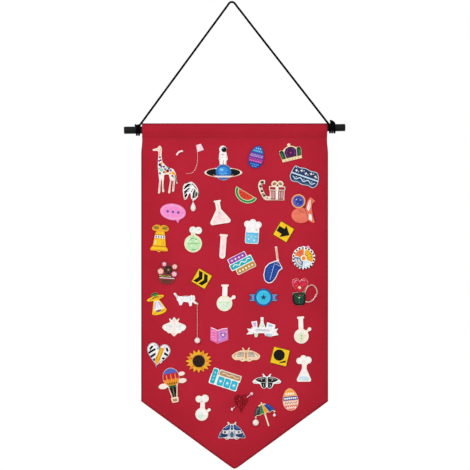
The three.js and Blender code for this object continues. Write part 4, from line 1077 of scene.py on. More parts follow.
@pin(-122, 188, 30, 45, -4)
def bell(b):
    b.plate("amber", "50,42", b.oval(28, 88, 24, 11, 18), b.oval(72, 88, 24, 11, -18),
            b.poly("36,86 64,86 76,70,4 82,40 86,22,2 99,12,2 96,5,2 4,5,2 1,12,2 14,22,2 18,40 24,70,4"),
            b.disc(50, 6, 9))
    b.cell("olive", b.oval(27, 88.5, 16, 6.5, 18), b.oval(73, 88.5, 16, 6.5, -18))
    b.cell("yellow", b.polys("31,75,1 69,75,1 75,65 25,65 | 20,47 80,47 83,25 17,25"))
    b.cell("white", b.poly("23,61 77,61 79,51 21,51"))
    b.cell("yellow", b.poly("13,19 87,19 92,11 8,11"))
    b.mark("brown", b.line(0.8, "12,92 28,88 40,84 | 88,92 72,88 60,84"),
           b.line(0.7, "24,63 50,63.5 76,63"), b.line(0.6, "14,22 50,21.5 86,22"), b.dots(0.8, "50,7"))
    b.mark("black", [b.poly([(x, 53), (x + 7, 53), (x + 6, 59), (x + 1, 59)]) for x in (26, 40, 54, 68)])
    b.mark("amber", b.line(1.6, "70,45 73,28"), b.line(1, "62,45 64,28"),
           b.line(0.8, "36,74 33,67 | 50,74 50,67"))
    b.mark("white", b.line(1.2, "28,43 26,30"))


@pin(-67, 189.5, 30, 43)
def green_flask(b):
    b.plate("ivory", "48,34", b.disc(48, 34, 48), b.poly("36,58 60,58 62,84 38,84"), b.disc(46, 86, 19),
            b.disc(76, 84, 20))
    bowl = b.disc(48, 34, 41)
    b.cell("palegreen", bowl, b.poly("43,68 54,68 55,76 44,76"))
    b.mark("lemon", b.ring(b.disc(48, 34, 46.5), 0.1, 0.9))
    b.mark("white", b.wedge(48, 34, 31, 36, 110, 190), b.dots(1.5, "40,26 64,44"),
           b.dots(0.9, "52,38 60,22 34,42"), b.disc(46, 86, 14), b.disc(76, 84, 15))
    b.mark("leaf", b.line(1, "14,36 30,33 48,37 66,33 82,36"))
    b.mark("green", b.line(0.9, "32,51 42,54 52,53 | 58,52 68,48 | 40,12 52,10 60,13"),
           b.line(0.7, "46,62 52,66"))
    b.mark("mint", b.line(0.7, "38,84 44,90 52,89 | 70,80 78,88 84,86"))


@pin(-19, 201, 13, 40, -4)
def test_tube(b):
    b.plate("blushwhite", "50,50", b.poly("0,100,0.8 100,100,0.8 100,92,0.8 88,90 88,12 12,12 12,90 "
            "0,92,0.8"), b.disc(50, 12.4, 38))
    b.cell("skin", b.poly("28,86 72,86 72,14,2 62,7,1.5 38,7,1.5 28,14,2"))
    b.mark("palepink", b.poly("31,54 69,56 69,15,2 60,9,1.5 40,9,1.5 31,15,2"))
    b.mark("blush", b.line(0.5, "56,76 70,76 | 56,66 70,66 | 8,91 92,91"))
    b.mark("white", b.line(0.8, "36,80 36,18"))


@pin(112.5, 219.5, 39, 39)
def scallop_badge(b):
    b.plate("white", "50,50", b.star(14, 4, 3), b.disc(68, 93, 7))
    b.cell("amber", b.disc(50, 48, 9))
    sectors = ((88, 162, "orange"), (170, 262, "slate"), (270, 326, "paleblue"), (-26, 78, "amber"))
    for start, end, colour in sectors:
        b.cell(colour, b.wedge(50, 48, 13, 39, start, end))
    b.mark("black", [b.wedge(50, 48, 40.2, 46.4, a, a + 10) for a in range(0, 360, 18)])
    b.mark("yellow", b.wedge(50, 48, 20, 32, 0, 52))
    b.mark("coral", b.wedge(50, 48, 18, 34, 104, 146))
    b.mark("pale", b.wedge(50, 48, 18, 26, 186, 246), b.wedge(50, 48, 29, 36, 180, 256))
    b.mark("white", b.wedge(50, 48, 22, 34, 278, 318))
    b.mark("brown", b.line(0.6, "62,58 74,66 84,66 | 66,50 76,54 86,52 | 30,70 38,78"))
    b.mark("orange", b.spark(50, 48, 2.6, 6, 0.5))
    b.stone("pink", b.heart(61, 87, 75, 99))


@pin(62.5, 231, 32, 61)
def feather(b):
    b.plate("white", "40,30", b.soft("56,60,3 74,63 84,56 100,40 80,33 66,15 46,2,4 24,0,5 6,8,4 1,24 10,44 "
            "30,55"), b.strip(10.6, "65,99 70,80 76,56"))
    b.cell("royal", b.mild("30,50 56,54 53,42 30,8 16,6 8,14 9,26 16,42"),
           b.mild("61,46 88,40 74,32 60,15 46,6 38,6 58,37"), b.mild("62,58 74,59 85,49 62,50"))
    b.mark("royal", b.soft("56,57,3 74,60 83,54 94,41 79,36 64,18 45,4.5,4 24,2.5,5 9,9.5,4 5,24 13,42 "
           "31,52.5"))
    b.mark("navy", b.line(1.6, "30,8 46,10 60,24 76,38", 0.5), b.line(1.4, "12,14 10,26 18,42", 0.5))
    left, right = [], []
    for i in range(4):
        left.append([(50 - 6 * i, 46 - 8 * i), (34 - 5 * i, 44 - 8 * i), (22 - 3 * i, 36 - 7 * i)])
        right.append([(62 - 5 * i, 38 - 7 * i), (72 - 5 * i, 36 - 7 * i), (80 - 7 * i, 36 - 8 * i)])
    b.mark("blue", [b.line(1, barb, 0.4) for barb in left + right])
    b.mark("paleblue", b.line(0.7, "58,54 46,32 34,10"), b.line(0.6, "62,52 74,50 86,46"),
           b.line(0.5, "66,56 76,55"))
    b.mark("peach", b.line(2.4, "65.4,97 70,80 75,64"))
    b.mark("tan", b.line(0.6, "68,92 71.5,80 75,68"))


@pin(11, 228, 40, 31, 27)
def banded_plaque(b):
    b.plate("white", "50,51", b.bar(4, 66, 84, 100), b.bar(0, 32, 100, 70), b.bar(16, 0, 100, 36))
    b.cell("berry", b.bar(6.5, 69.5, 81.5, 97.5))
    b.cell("teal", b.bar(3, 36.5, 97, 65.5))
    b.cell("ochre", b.bar(18.5, 2.5, 98, 32))
    b.mark("white", [b.spark(x, 83, 2.2) for x in (20, 36, 52, 68)],
           b.line(1.4, "12,51 24,57 38,46 52,57 66,46 80,57 90,51"),
           b.dots(1.5, "30,16 44,16 58,16 72,16 86,16"))
    b.mark("lilac", b.dots(0.7, "28,83 44,83 60,83 12,83"))


@pin(-109.5, 243, 37, 38)
def flower_pot(b):
    blooms = [(36, 85, 13), (82, 74, 15), (20, 54, 17), (80, 42, 15), (54, 60, 23)]
    b.plate("umber", "54,50", [b.disc(*bloom) for bloom in blooms],
            b.soft("9,30 86,24 74,4 60,0 30,0 17,8"), b.oval(42, 34, 26, 10, -6))
    for (x, y, r), colour in zip(blooms, ("rose", "coral", "coral", "rose", "black")):
        b.cell(colour, b.disc(x, y, r - (4.5 if r > 20 else 3)))
    b.cell("umber", b.poly("17,25 79,20.5 70,5.5,1 58,3,1 32,3,1 22,9,1"))
    for (x, y, r), colour in zip(blooms, ("palepink", "palepink", "palepink", "palepink", "brown")):
        reach = (r - 4.5) * 0.58
        for k in range(5):
            a = math.radians(72 * k + 18)
            up = y + reach * math.sin(a) * b.width / b.height
            b.mark(colour, b.disc(x + reach * math.cos(a), up, (r - 4.5) * 0.34))
    b.mark("leaf", b.line(2.2, "14,37 30,33 42,36", 0.3), b.line(2, "66,30 54,33 44,31", 0.3))
    b.mark("brown", b.line(0.8, "22,16 48,14 73,13 | 26,8 48,7 66,7"))
    b.mark("palepink", b.line(1.3, "15,27 48,25 80,22.5"))
    for i, (x, y, r) in enumerate(blooms):
        b.stone("yellow" if i < 4 else "tan", b.disc(x, y, (r - 4.5) * 0.26))


@pin(-53.5, 253.5, 26, 26, -30)
def chevron_sign(b):
    sign(b, b.polys("9,13 35,13 54,50 35,87 9,87 28,50 | 46,13 72,13 91,50 72,87 46,87 65,50"))


@pin(114.5, 275.5, 42, 45)
def heart_pouch(b):
    heart = b.heart(0, 38, 62, 100)
    b.plate("rosegold", "29,48", heart, b.poly("3,48 52,52 54,20,2 48,4,3 30,0,3 10,4,3 2,22,2"),
            b.strip(5.2, "48,46 62,70 78,76 92,66 97,48 90,32 78,19 64,14 48,18"))
    b.cell("glitter_red", b.cut(inset(heart, RIM), 57, 100))
    b.cell("forest", b.poly("8,44 48,47 49,20 44,7,2 13,7,2 7,22"))
    b.mark("forest", b.poly("3.6,47.2 28,49.4 51.2,51 53,20,2 47.4,4.9,3 30,1.2,3 10.6,4.9,3 2.9,22,2"))
    handle = "50,47 62,70 78,76 92,66 97,48 90,32 78,19 64,14 53,17"
    b.mark("maroon", b.line(1.7, handle))
    b.mark("rosegold", b.line(0.8, handle))
    b.mark("red", b.ring(heart, 0.3, 0.9), b.cut(inset(heart, 0.3), 36, 60))
    b.mark("black", b.line(2.6, "6,40 5.6,22 12.5,8 30,4.4 45,8 50,20 49.6,42"))
    b.mark("pink", b.line(1.2, "9,84 13,92 21,94"), b.line(1, "38,90 44,94 51,91"))
    b.mark("green", b.line(0.7, "12,38 28,30 45,40"), b.line(0.6, "28,30 28,9"))
    b.stone("champagne", b.disc(30, 66, 5.5), b.disc(28, 30, 3))


def flask(b, fill):
    """Round flask with a side arm."""
    b.plate("ivory", "42,28", b.disc(42, 28.5, 40), b.polys("30,52 56,52 58,95 32,95 | "
            "26,92,1 64,92,1 64,100,1 26,100,1"), b.strip(12.5, "60,38 90,52"), b.disc(89, 52, 10))
    b.cell(fill, b.cut(b.disc(42, 28.5, 33), 0, 34))
    b.cell("white", b.poly("38,62 50,62 51,88 39,88"))


def flask_shine(b):
    b.mark("white", b.line(0.9, "18,40 22,46 30,50"), b.line(2.4, "45,58 46,90"), b.disc(89, 52, 6))


@pin(-14, 284.5, 32, 43)
def side_flask(b):
    flask(b, "mist")
    b.mark("lemon", b.wedge(42, 28.5, 33.5, 36.5, 0, 359))
    b.mark("palegreen", b.line(1.4, "14,33 28,31 42,34 56,31 70,33"), b.dots(1.2, "30,18 54,16"),
           b.dots(0.8, "42,10 60,26 24,26"))
    b.mark("blush", b.dots(1, "38,24 48,20 52,28"))
    flask_shine(b)


@pin(47, 284, 46.5, 30)
def rosette(b):
    b.plate("steel", "50,50", b.disc(50, 50, 31), b.pair("0,66 30,66 30,31 0,31 6,48"))
    b.cell("cyan", b.disc(50, 50, 25))
    b.cell("lavender", b.pair("8,59 17,59 17,38 8,38 11,48"))
    b.mark("sky", b.pair("2,64.5 19,64.5 19,61.5 4.5,61.5 | 2,32.5 19,32.5 19,35.5 4.5,35.5"))
    b.mark("royal", b.ring(b.disc(50, 50, 30), 0.3, 0.9))
    b.mark("sky", b.ring(b.disc(50, 50, 22), 0.2, 0.5))
    b.mark("navy", b.spark(50, 50, 5))


@pin(-127, 295, 32, 39)
def saucer(b):
    b.plate("yellow", "52,46", b.disc(41.5, 84, 19), b.oval(43, 75, 45, 9, 17),
            b.poly("34,66 62,70 100,29 27,10"), b.oval(63, 18, 38, 11, 17))
    b.cell("green", b.disc(40, 90, 11))
    b.cell("amber", b.oval(43, 75, 37, 4.6, 17))
    b.cell("white", b.poly("38.5,61 59.5,65 91,34 35,23"))
    b.cell("yellow", b.oval(63, 17, 31, 6, 17))
    b.mark("forest", b.wedge(41.5, 84, 12.5, 18, 12, 200), b.line(1.2, "27,74 42,78.5 56,82"))
    b.mark("green", b.dots(0.9, "18,68 32,72 60,79 72,82"))
    b.mark("lilac", b.line(1.1, "45,59 44,30 | 50,60 58,33 | 56,61 74,35"))
    b.mark("slate", b.line(0.5, "41.5,58 39,30 | 58.5,61 82,37"))
    b.mark("violet", b.oval(60, 22, 14, 4, 17))
    b.mark("olive", b.line(0.9, "36,10 46,13 56,13.5 | 72,19 84,24 92,26"))


@pin(-80, 290, 40, 27)
def cat(b):
    b.plate("white", "44,64", b.soft("4,100 10,99 18,80 30,78 50,82 68,80 74,88 78,82 84,86 88,76 90,62 "
            "86,52 98,38 95,30 88,33 78,46 75,20 66,18 62,42 40,46 34,24 25,24 21,46 14,56 14,70 "
            "0,94"), lugs="98,33")
    b.cell("white", b.mild("20,72 48,75 64,73 64,54 40,52 24,56"), b.disc(79, 66, 7))
    b.mark("pale", b.line(0.8, "28,68 36,62 46,66 | 50,62 58,66"), b.line(0.6, "68,40 70,26 | 28,42 29,30"))
    b.mark("slate", b.line(0.5, "8,92 15,76 20,70 | 38,76 50,79 62,77 | 64,46 58,45"),
           b.dots(0.5, "77,68 82,69"))
    b.mark("rose", b.dots(0.4, "80,63"))
    b.mark("teal", b.line(0.9, "69,76 68,64 71,54"))


@pin(-98.5, 331.5, 40, 33.5)
def white_moth(b):
    b.plate("ivory", "50,50", b.mirrored("50,98 56,88 60,80 68,90 72,88 65,72 80,65 94,58,2 100,47,2 "
            "92,32,2 80,26 76,18 64,17 50,0"))
    b.cell("palepink", b.polys("50,88 54,76 50,66 46,76 | 50,5 58,18 42,18", MILD))
    b.cell("white", b.pair("57,69 66,67 80,60 93,51 88,37 76,30 62,24 54,50", MILD))
    for x, y in ((86, 52), (82, 41), (72, 32)):
        b.mark("pale", b.both(0.45, [(57, 50), ((57 + x) / 2, y + 6), (x, y)]))
    b.mark("mist", b.both(1.2, "62,58 70,54 78,56"), b.both(1, "66,38 72,36 78,40"))
    b.mark("palepink", b.dots(0.8, "70,47 30,47"), b.line(1.6, "50,66 50,22", 0.5))


@pin(110.5, 337.5, 30, 45, 4)
def filled_flask(b):
    flask(b, "cream")
    b.mark("palegreen", b.line(1, "40,8 42,24 46,44"),
           b.line(1.6, "41,18 32,24 24,30 | 42,20 52,24 60,30 | 43,28 35,36 30,42 | "
           "44,30 52,36 56,42", 0.3))
    flask_shine(b)


@pin(45.5, 333, 53, 33.5)
def scroll(b):
    b.plate("white", "32,35 70,35", b.polys("16,23 84,21 84,48 16,50 | 0,15 22,18 22,42 2,45 8,30 | "
            "100,13 78,16 78,42 98,44 92,29 | 15,78 33,82 35,42 22,42 | "
            "44,100 53,100 53,74,1 62,40 36,40 44,74,1 | 60,40 64,76,1 90,62,1 86,38 | "
            "24,28 38,28 34,3,1 26,3,1 | 54,28 80,26 78,3,1 58,9,1"))
    b.cell("white", b.poly("22,28 78,26 78,42 22,44"))
    b.cell("lilac", b.poly("19,74 29,76 31,54 24,54"))
    b.cell("mist", b.poly("46,92 51,92 51,70 56,52 42,52 46,70"))
    b.cell("paleblue", b.poly("67,68 84,59 82,52 66,54"))
    b.mark("slate", b.line(0.6, "27,38 40,39.5 50,38.5 60,39 73,37 | 30,32 44,33.5 58,33 70,31.5"),
           b.line(0.5, "47,84 51,84"))
    b.mark("palegreen", b.poly("27,22 36,22 33,6 28,6"), b.line(1.2, "44,58 50,56 55,58"))
    b.mark("paleblue", b.poly("58,22 77,20 76,7 61,12"))
    b.mark("lavender", b.line(0.9, "62,16 74,13"), b.line(0.8, "70,62 80,57"))
    b.mark("pale", b.line(0.6, "6,20 10,30 7,40 | 94,18 90,29 93,39"))


@pin(-25, 345.5, 30.5, 29)
def book(b):
    b.plate("rose", "40,42", b.poly("2,98 14,93 40,80,2 66,89,2 96,92 99,22 40,0 1,22"))
    left, right = b.polys("7,84 36,71 36,9 7,25 | 44,71 92,82 94,27 44,9")
    b.cell("pink", left)
    b.cell("orchid", right)
    b.mark("white", b.line(1, "7,91 24,85 40,76 66,84 92,87"))
    b.mark("magenta", b.ring(left, 1, 0.5), b.ring(right, 1.2, 0.5),
           b.line(0.9, "13,66 30,58 | 13,52 30,44 | 13,38 30,30"))
    b.mark("violet", b.heart(56, 33, 84, 63))
    b.mark("palepink", b.heart(62, 40, 78, 58), b.dots(0.7, "50,62 88,70 50,24 88,36"))


@pin(-125, 378.5, 38, 39, -9)
def striped_heart(b):
    heart = b.heart(0, 0, 100, 100)
    b.plate("white", "46,52", heart)
    b.cell("amber", b.poly("54,84 74,84 60,24 48,10 40,30"))
    b.cell("black", b.polys("8,73 17,87 26,85 15,67 | 7,58 32,78 38,72 11,50 | 16,42 38,60 40,50 23,35 | "
           "29,28 39,38 41,28 36,20 | 83,90 93,76 88,70 78,82 | 76,68 93,60 90,52 74,58 | "
           "71,46 86,43 80,35 68,38 | 66,29 73,27 66,19 61,20"))
    b.mark("slate", b.ring(heart, 0.4, 0.6))
    b.mark("paleblue", b.line(1.2, "30,90 38,86 44,78 | 12,46 30,56 | 24,31 35,42 | 78,74 92,68 | "
           "72,52 88,49"), b.line(1, "68,33 77,32"))
    b.mark("black", b.line(1, "26,91 34,90"), b.line(0.9, "40,82 46,74 | 10,66 18,64 | 72,90 76,86 | "
           "84,86 88,84 | 80,78 86,74"), b.line(0.8, "76,64 84,64 | 42,44 46,38"))
    b.mark("yellow", b.line(1.4, "62,78 56,48 50,24", 0.5))
    b.mark("ochre", b.line(0.7, "69,80 58,32 | 56,80 46,34"))


@pin(74, 380.5, 28, 28, -14)
def disc_sign(b):
    sign(b, b.disc(43, 57, 33), b.poly("48,10 90,24 88,36 62,22"))


@pin(18.5, 377, 48, 24)
def gold_moth(b):
    b.plate("apricot", "50,42", b.mirrored("50,78 54,78 60,98 64,95 59,77 68,78 84,65 98,46,1.5 98,30,1.5 "
            "88,11 72,12 66,2,1 58,1,1 50,9"))
    b.cell("tan", b.mild("50,70 53,58 52,20 48,20 47,58"))
    b.cell("cream", b.pair("56.5,69 68,72 82,60 93,43 92,32 76,29 57,33 | "
           "57,26 76,23 84,16 71,17 64,7 57,7", MILD))
    b.mark("peach", b.both(1.2, "70,68 82,56 91,40"), b.both(0.8, "62,24 70,20 78,19"))
    b.mark("brown", b.both(0.8, "56,62 64,65 74,62 | 56,54 66,56.5 78,54 | 57,46 68,48 82,46"),
           b.both(0.9, "58,38 68,39 80,36"), b.both(0.8, "59,20 63,16 65,11"),
           b.both(0.7, "85,50 89,42 89,35"))
    b.mark("tan", b.both(0.5, "82,58 88,48 91,36"))


@pin(-58.5, 388, 44.5, 39)
def sunflower(b):
    b.plate("amber", "50,50", b.star(16, 15, 1.6))
    b.cell("black", b.disc(50, 50, 23))
    for k, a in enumerate(turns(16)):
        petal = [(50 + r * math.sin(a), 50 + r * math.cos(a)) for r in (26, 36, 46)]
        b.mark(("yellow", "orange", "petal")[k % 3], b.line(2.4, petal, 0.2))
        b.mark("umber", b.line(0.5, petal[:2], 0.6))
    b.mark("brown", b.ring(b.disc(50, 50, 23), 0.6, 0.9))
    for k in range(34):
        r, a = 18 * math.sqrt((k + 0.5) / 34), 2.39996 * k
        spot = (50 + r * math.cos(a), 50 + r * math.sin(a) * b.width / b.height)
        b.stone("umber" if k % 3 == 0 else "brown", b.dots(0.7, [spot]))


@pin(113, 400, 25.5, 43)
def foam_flask(b):
    foam = [(22, 79, 21), (46, 89, 20), (76, 82, 23), (54, 74, 24)]
    b.plate("ivory", "50,25", [b.disc(*puff) for puff in foam],
            b.poly("36,70 70,70 66,50,2 97,8,2.5 92,0,2.5 8,0,2.5 3,8,2.5 38,50,2"))
    b.cell("white", b.poly("45,46 59,46 85,10,1.5 82,5,1.5 18,5,1.5 15,10,1.5"))
    b.mark("paleblue", b.poly("25,20 77,20 84,10 81,6 19,6 16,10"))
    b.mark("white", [b.disc(x, y, r - 8) for x, y, r in foam[:3]], b.dots(1, "44,13 60,16"),
           b.dots(0.7, "52,30 34,11"))
    b.mark("cream", b.wedge(76, 82, 16, 18.5, -40, 90), b.wedge(22, 79, 14, 16.5, 80, 220),
           b.wedge(46, 89, 13, 15.5, 30, 150))


@pin(-100.5, 427, 44, 57, 10)
def balloon(b):
    def seams(width, counts, *places, taper=1.0):
        return [b.line(width, [(48 + pull * k, y) for pull, y in places], taper) for k in counts]

    envelope = b.oval(48, 72, 31, 28)
    clouds = [(88, 78, 13, 6), (87, 58, 16, 7), (14, 51, 18, 8)]
    b.plate("cream", "48,72 48,28", envelope, b.polys("22,60 74,60 62,40 34,40 | 31,46 65,46 57,8 39,8 | "
            "34,14 62,14 60,0,2 36,0,2"), [b.oval(*cloud) for cloud in clouds])
    inner = inset(envelope, RIM)
    b.cell("indigo", b.cut(inner, 86, 100))
    b.cell("red", b.cut(inner, 69, 83))
    b.cell("orange", b.cut(inner, 55, 66))
    b.cell("green", b.poly("35,52 61,52 58,44 38,44"))
    b.cell("black", b.poly("39,39 57,39 51,18 45,18"))
    b.cell("tan", b.poly("39,11 57,11 56,3 40,3"))
    b.mark("indigo", b.cut(inset(envelope, 0.5), 84, 100))
    b.mark("red", b.cut(inset(envelope, 0.5), 68, 84.2))
    b.mark("orange", b.cut(inset(envelope, 0.5), 52, 68.2), b.poly("25.5,58 70.5,58 64,50 32,50"))
    b.mark("amber", seams(1.7, range(-3, 4), (7.6, 66), (7, 58), (5, 51), taper=0.6),
           seams(1.3, (-2, 0, 2), (8, 81), (8, 72), (7.6, 66)))
    b.mark("maroon", seams(0.8, (-3, -1, 1, 3), (8, 84), (8.3, 74), (7.6, 64), taper=0.5))
    b.mark("blue", seams(1, (-2, 0, 2), (3, 97), (6.6, 90), (8, 84)))
    b.mark("forest", b.line(1.6, "33,48 48,46.5 63,48"))
    b.mark("black", b.poly("34,44.5 62,44.5 55,15.5 41,15.5"))
    b.mark("gold", b.both(0.5, "33.4,46 39,26 41,13"), b.line(0.5, "48,44 48,16"))
    b.mark("tan", b.line(0.7, "40,9 56,9 | 40,5 56,5"))
    b.mark("blushwhite", [b.oval(x, y, rx - 2.6, ry - 2) for x, y, rx, ry in clouds])


@pin(-15.5, 418, 49, 27, -18)
def teal_plaque(b):
    b.plate("white", "23,34 75,34", b.bar(0, 0, 97, 64), b.bar(2, 40, 22, 100), b.bar(24, 56, 100, 100))
    b.cell("teal", b.bar(3.5, 5, 19.5, 95), [b.bar(left - 1, 5, left + 20, 59) for left in (28, 51, 74)])
    b.cell("tan", b.bar(26.5, 66, 98, 96))
    b.mark("cyan", b.line(1.6, "11.5,16 11.5,84"), [b.bar(left + 2, 12, left + 17, 52)
           for left in (28, 51, 74)])
    b.mark("white", [b.spark(x, 32, 2.8) for x in (37.5, 60.5, 83.5)],
           b.dots(0.8, "11.5,28 11.5,50 11.5,72"))
    b.mark("cream", b.line(1.1, "33,81 45,85 57,78 70,85 82,78 92,82"))


@pin(52.5, 420.5, 48, 25.5)
def black_moth(b):
    b.plate("white", "50,50", b.mirrored("50,78 54,80 62,98 66,95 60,78 78,74 92,61 100,46,1.5 94,34,1.5 "
            "74,33 69,12 62,1,1 55,4 50,14"))
    b.cell("black", b.pair("54.5,72 60,73 77,69 89,57 78,48 66,41 54.5,42 | "
           "54.5,37 69,37 65.5,13 61,6 55,10", MILD))
    b.mark("black", b.line(1.2, "50,74 50,20", 0.5), b.both(0.5, "84,42 90,41 95,45"),
           b.pair("53.2,75 61,75.5 78,71 90.5,58 78,46 68,40.5 70,37 66.5,13 61.5,4.5 53.5,9", MILD))
    b.mark("white", b.both(0.5, "58,67 68,66 80,61 | 56,42 62,41 68,43"), b.dots(0.8, "68,57 32,57"),
           b.both(0.5, "60,32 62,22 60,14"))


@pin(91, 450.5, 25.5, 36.5, 6)
def coral_egg(b):
    egg(b, "peach", ("petal", "royal", "cream", "coral"), (
        ("dots", "white", 76, 1.5, 28, 72), ("dots", "coral", 87, 1, 38, 62),
        ("dots", "white", 55.5, 1.6, 16, 84), ("zigzag", "red", 35, 1.4, 10, 90),
        ("zigzag", "white", 14, 1.9, 20, 80)))


@pin(12, 454, 38, 33.5)
def arrow_heart(b):
    heart = b.heart(17, 2, 75, 84)
    b.plate("crimson", "46,44", heart, b.strip(5.8, "5,12 92,89"),
            b.polys("0,8 10,3 14,19 3,23 | 82,88 92,78 100,90 91,100"))
    b.cell("glitter_wine", inset(heart, RIM))
    b.cell("palepink", b.poly("87,88.5 92,83.5 96,90 91,95"))
    b.mark("wine", b.ring(heart, 0.1, 0.9))
    b.mark("palepink", b.poly("2,9 9,5 12,18 4,21"), b.line(0.9, "12,18 19,25 | 70,70 86,84"),
           b.ring(b.poly("83,88 92,79 99,90 91,99"), 0.1, 0.7))


@pin(-51.5, 463.5, 25.5, 43)
def foam_round_flask(b):
    b.plate("ivory", "42,24", b.disc(42, 24, 41), b.poly("30,42 62,42 62,72 34,72"), b.disc(24, 82, 22),
            b.disc(62, 84, 25), b.strip(15.7, "64,30 90,41"), b.disc(89, 41, 10))
    b.cell("white", b.disc(42, 24, 32), b.poly("42,48 53,48 53,64 43,64"))
    b.mark("mist", b.cut(b.disc(42, 24, 29), 0, 22), b.wedge(62, 84, 17, 20, -60, 80),
           b.wedge(24, 82, 14, 17, 90, 230))
    b.mark("white", b.disc(24, 82, 13), b.disc(62, 84, 16), b.dots(0.9, "34,14 50,12"), b.disc(89, 41, 6),
           b.line(1.4, "47,46 48,68"))
    b.mark("palegreen", b.line(0.8, "36,8 42,18 40,30 | 42,18 50,24"))


@pin(49, 473, 34, 37, 18)
def umbrella(b):
    top = [(50 + 50 * math.cos(a), 46 + 47 * math.sin(a)) for a in np.linspace(0, math.pi, 25)]
    b.plate("champagne", "50,64", b.poly(top + spots("12,51,2 25,46 37,51,2 50,46 63,51,2 75,46 88,51,2")),
            b.strip(7, "50,-9 50,50 50,100"), lugs="3,45 97,45")
    gores = ("dusk", "royal", "green", "amber")
    wells = b.pair("4,50 12,55,1 24,50 42,86 26,81,3 10,66,3 | 27,50 37,55,1 47,50 47,88 45,87")
    for colour, well in zip(gores, wells):
        b.cell(colour, well)
    b.mark("dusk", b.line(1.5, b.arc(50, 46, 47.9, 44.9, 112, 175)))
    b.mark("royal", b.line(1.5, b.arc(50, 46, 47.9, 44.9, 5, 68)))
    panels = b.pair("2.5,49.5 12,53.5,1 25,48.5 43.5,88 27,84,3 9,68,3 | "
                    "26,48.5 37,53.5,1 49.2,48.5 49.2,91 44,88")
    for colour, panel in zip(gores, panels):
        b.mark(colour, panel)
    b.mark("forest", b.line(1.2, "30,54 40,72 45,84", 0.4))
    b.mark("grey", b.line(0.8, "9,60 20,72 34,81", 0.5))
    b.mark("orange", b.line(1, "62,55 56,70 52,84", 0.4))
    b.mark("blue", b.line(1.2, "92,56 82,70 68,80", 0.4))
    b.mark("ivory", b.line(0.9, "50,-8 50,44"), b.dots(0.8, "50,99"))


@pin(-4.5, 501.5, 45, 30)
def blue_moth(b):
    b.plate("silver", "50,40", b.mirrored("50,88 56,87 62,99 67,96 63,84 78,68 92,42 100,14,1 96,9,1 78,12 "
            "70,1,1 64,2,1 59,9 50,6"))
    b.cell("royal", b.mild("50,83 54,72 53,56 47,56 46,72"),
           b.pair("57.5,81 63,79 76,65 84,52 76,55 66,53 58,58", MILD))
    b.cell("white", b.oval(25, 43, 9, 8), b.oval(75, 43, 9, 8))
    b.cell("navy", b.pair("90,41 97,17 94,13 78,16 65,22 66,30 76,31 87,36", MILD))
    b.cell("slate", b.mild("50,48 58,32 55,14 45,14 42,32"))
    b.mark("navy", b.both(1.5, "88,49 83.5,44 88,40"),
           b.pair("56,84.5 63,82 77,67 87,50 80,53.5 67,52 57.4,57", MILD),
           b.mild("50,85 55,73 53.6,55 46.4,55 45,73"))
    b.mark("navy", b.pair("89.5,43 98.2,16.5 95,11.5 78,14.5 64,20.5 64.5,32 76,33 87,37.5", MILD))
    b.mark("royal", b.pair("60,79 68,73 77,60 66,57 60,60", MILD))
    b.mark("sky", b.both(0.6, "61,74 68,68 74,60 | 90,33 91,25 88,18"))
    b.mark("grey", b.dots(2.3, "25,43 75,43"), b.both(1.6, "58,50 61,36 60,18"))
    b.mark("dusk", b.dots(1.3, "25,43 75,43"), b.dots(1, "69,7 31,7"),
           b.line(0.6, "46,36 54,36 | 46,28 54,28 | 47,20 53,20"))
    b.mark("sky", b.spark(50, 69, 1.6, 4, 0.4))
    b.mark("gold", b.both(0.9, "57,86 61,93 64,96"), b.ring(b.disc(69, 7, 4), 0, 0.4),
           b.ring(b.disc(31, 7, 4), 0, 0.4))


# Pin bodies, with heights from the face of the cloth
UNDER_EASE = 0.12
PLATE_EASE = 0.22
LIP = 0.1
MARK_FOOT = ENAMEL_TOP - 0.1
MARK_EASE = 0.05
MARK_RISE = 0.06
MARK_STEP = 0.02
LAYER = 0.012
STONE_FOOT = ENAMEL_TOP - 0.2
STONE_RISE = 0.28
LUG_RADIUS = 1.7
CELL_SPILL = 0.03
CELL_SINK = 0.05
WIRE_STEP = 0.8
WIRE_SIDES = 8
CLUTCH_SIDES = 18
POST_SIDES = 10
PEG_SIDES = 14
LOOP_STEP = 0.05
LEAST_AREA = 0.2
INSIDE_ONLY = 1
MERGE_GAP = 1e-5
BACK = -CLOTH - FIT_GAP
DOME = ((1.0, 0.0), (0.97, 0.35), (0.84, 0.66), (0.6, 0.88), (0.3, 0.98), (0.06, 1.0))
# Clutch: radius and depth behind the cloth; wing: distance from the post and depth
CLUTCH = ((0.6, 2.8), (1.7, 2.8), (2.1, 2.5), (2.3, 1.15), (3.2, 1.0), (3.6, 0.6), (4.8, 0.75), (5.0, 0.45),
          (4.85, 0.1), (4.0, 0))
WING = ((1.0, 0.6), (2.3, 1.3), (3.0, 2.4), (2.7, 3.6), (1.7, 4.5), (0.75, 5.0))
WING_HALF_WIDTH = 2.5
WING_TAPER = 0.22
WING_HALF_THICKNESS = 0.2
POST = ((0.05, BACK - 5.2), (0.3, BACK - 4.9), (0.5, BACK - 4.4), (0.5, FIT_GAP + 0.2))
PEG = ((0.5, FIT_GAP + 0.5), (0.5, 3.3), (0.95, 3.3), (1.0, 3.45), (0.85, 3.65), (0.5, 3.77), (0.05, 3.8))


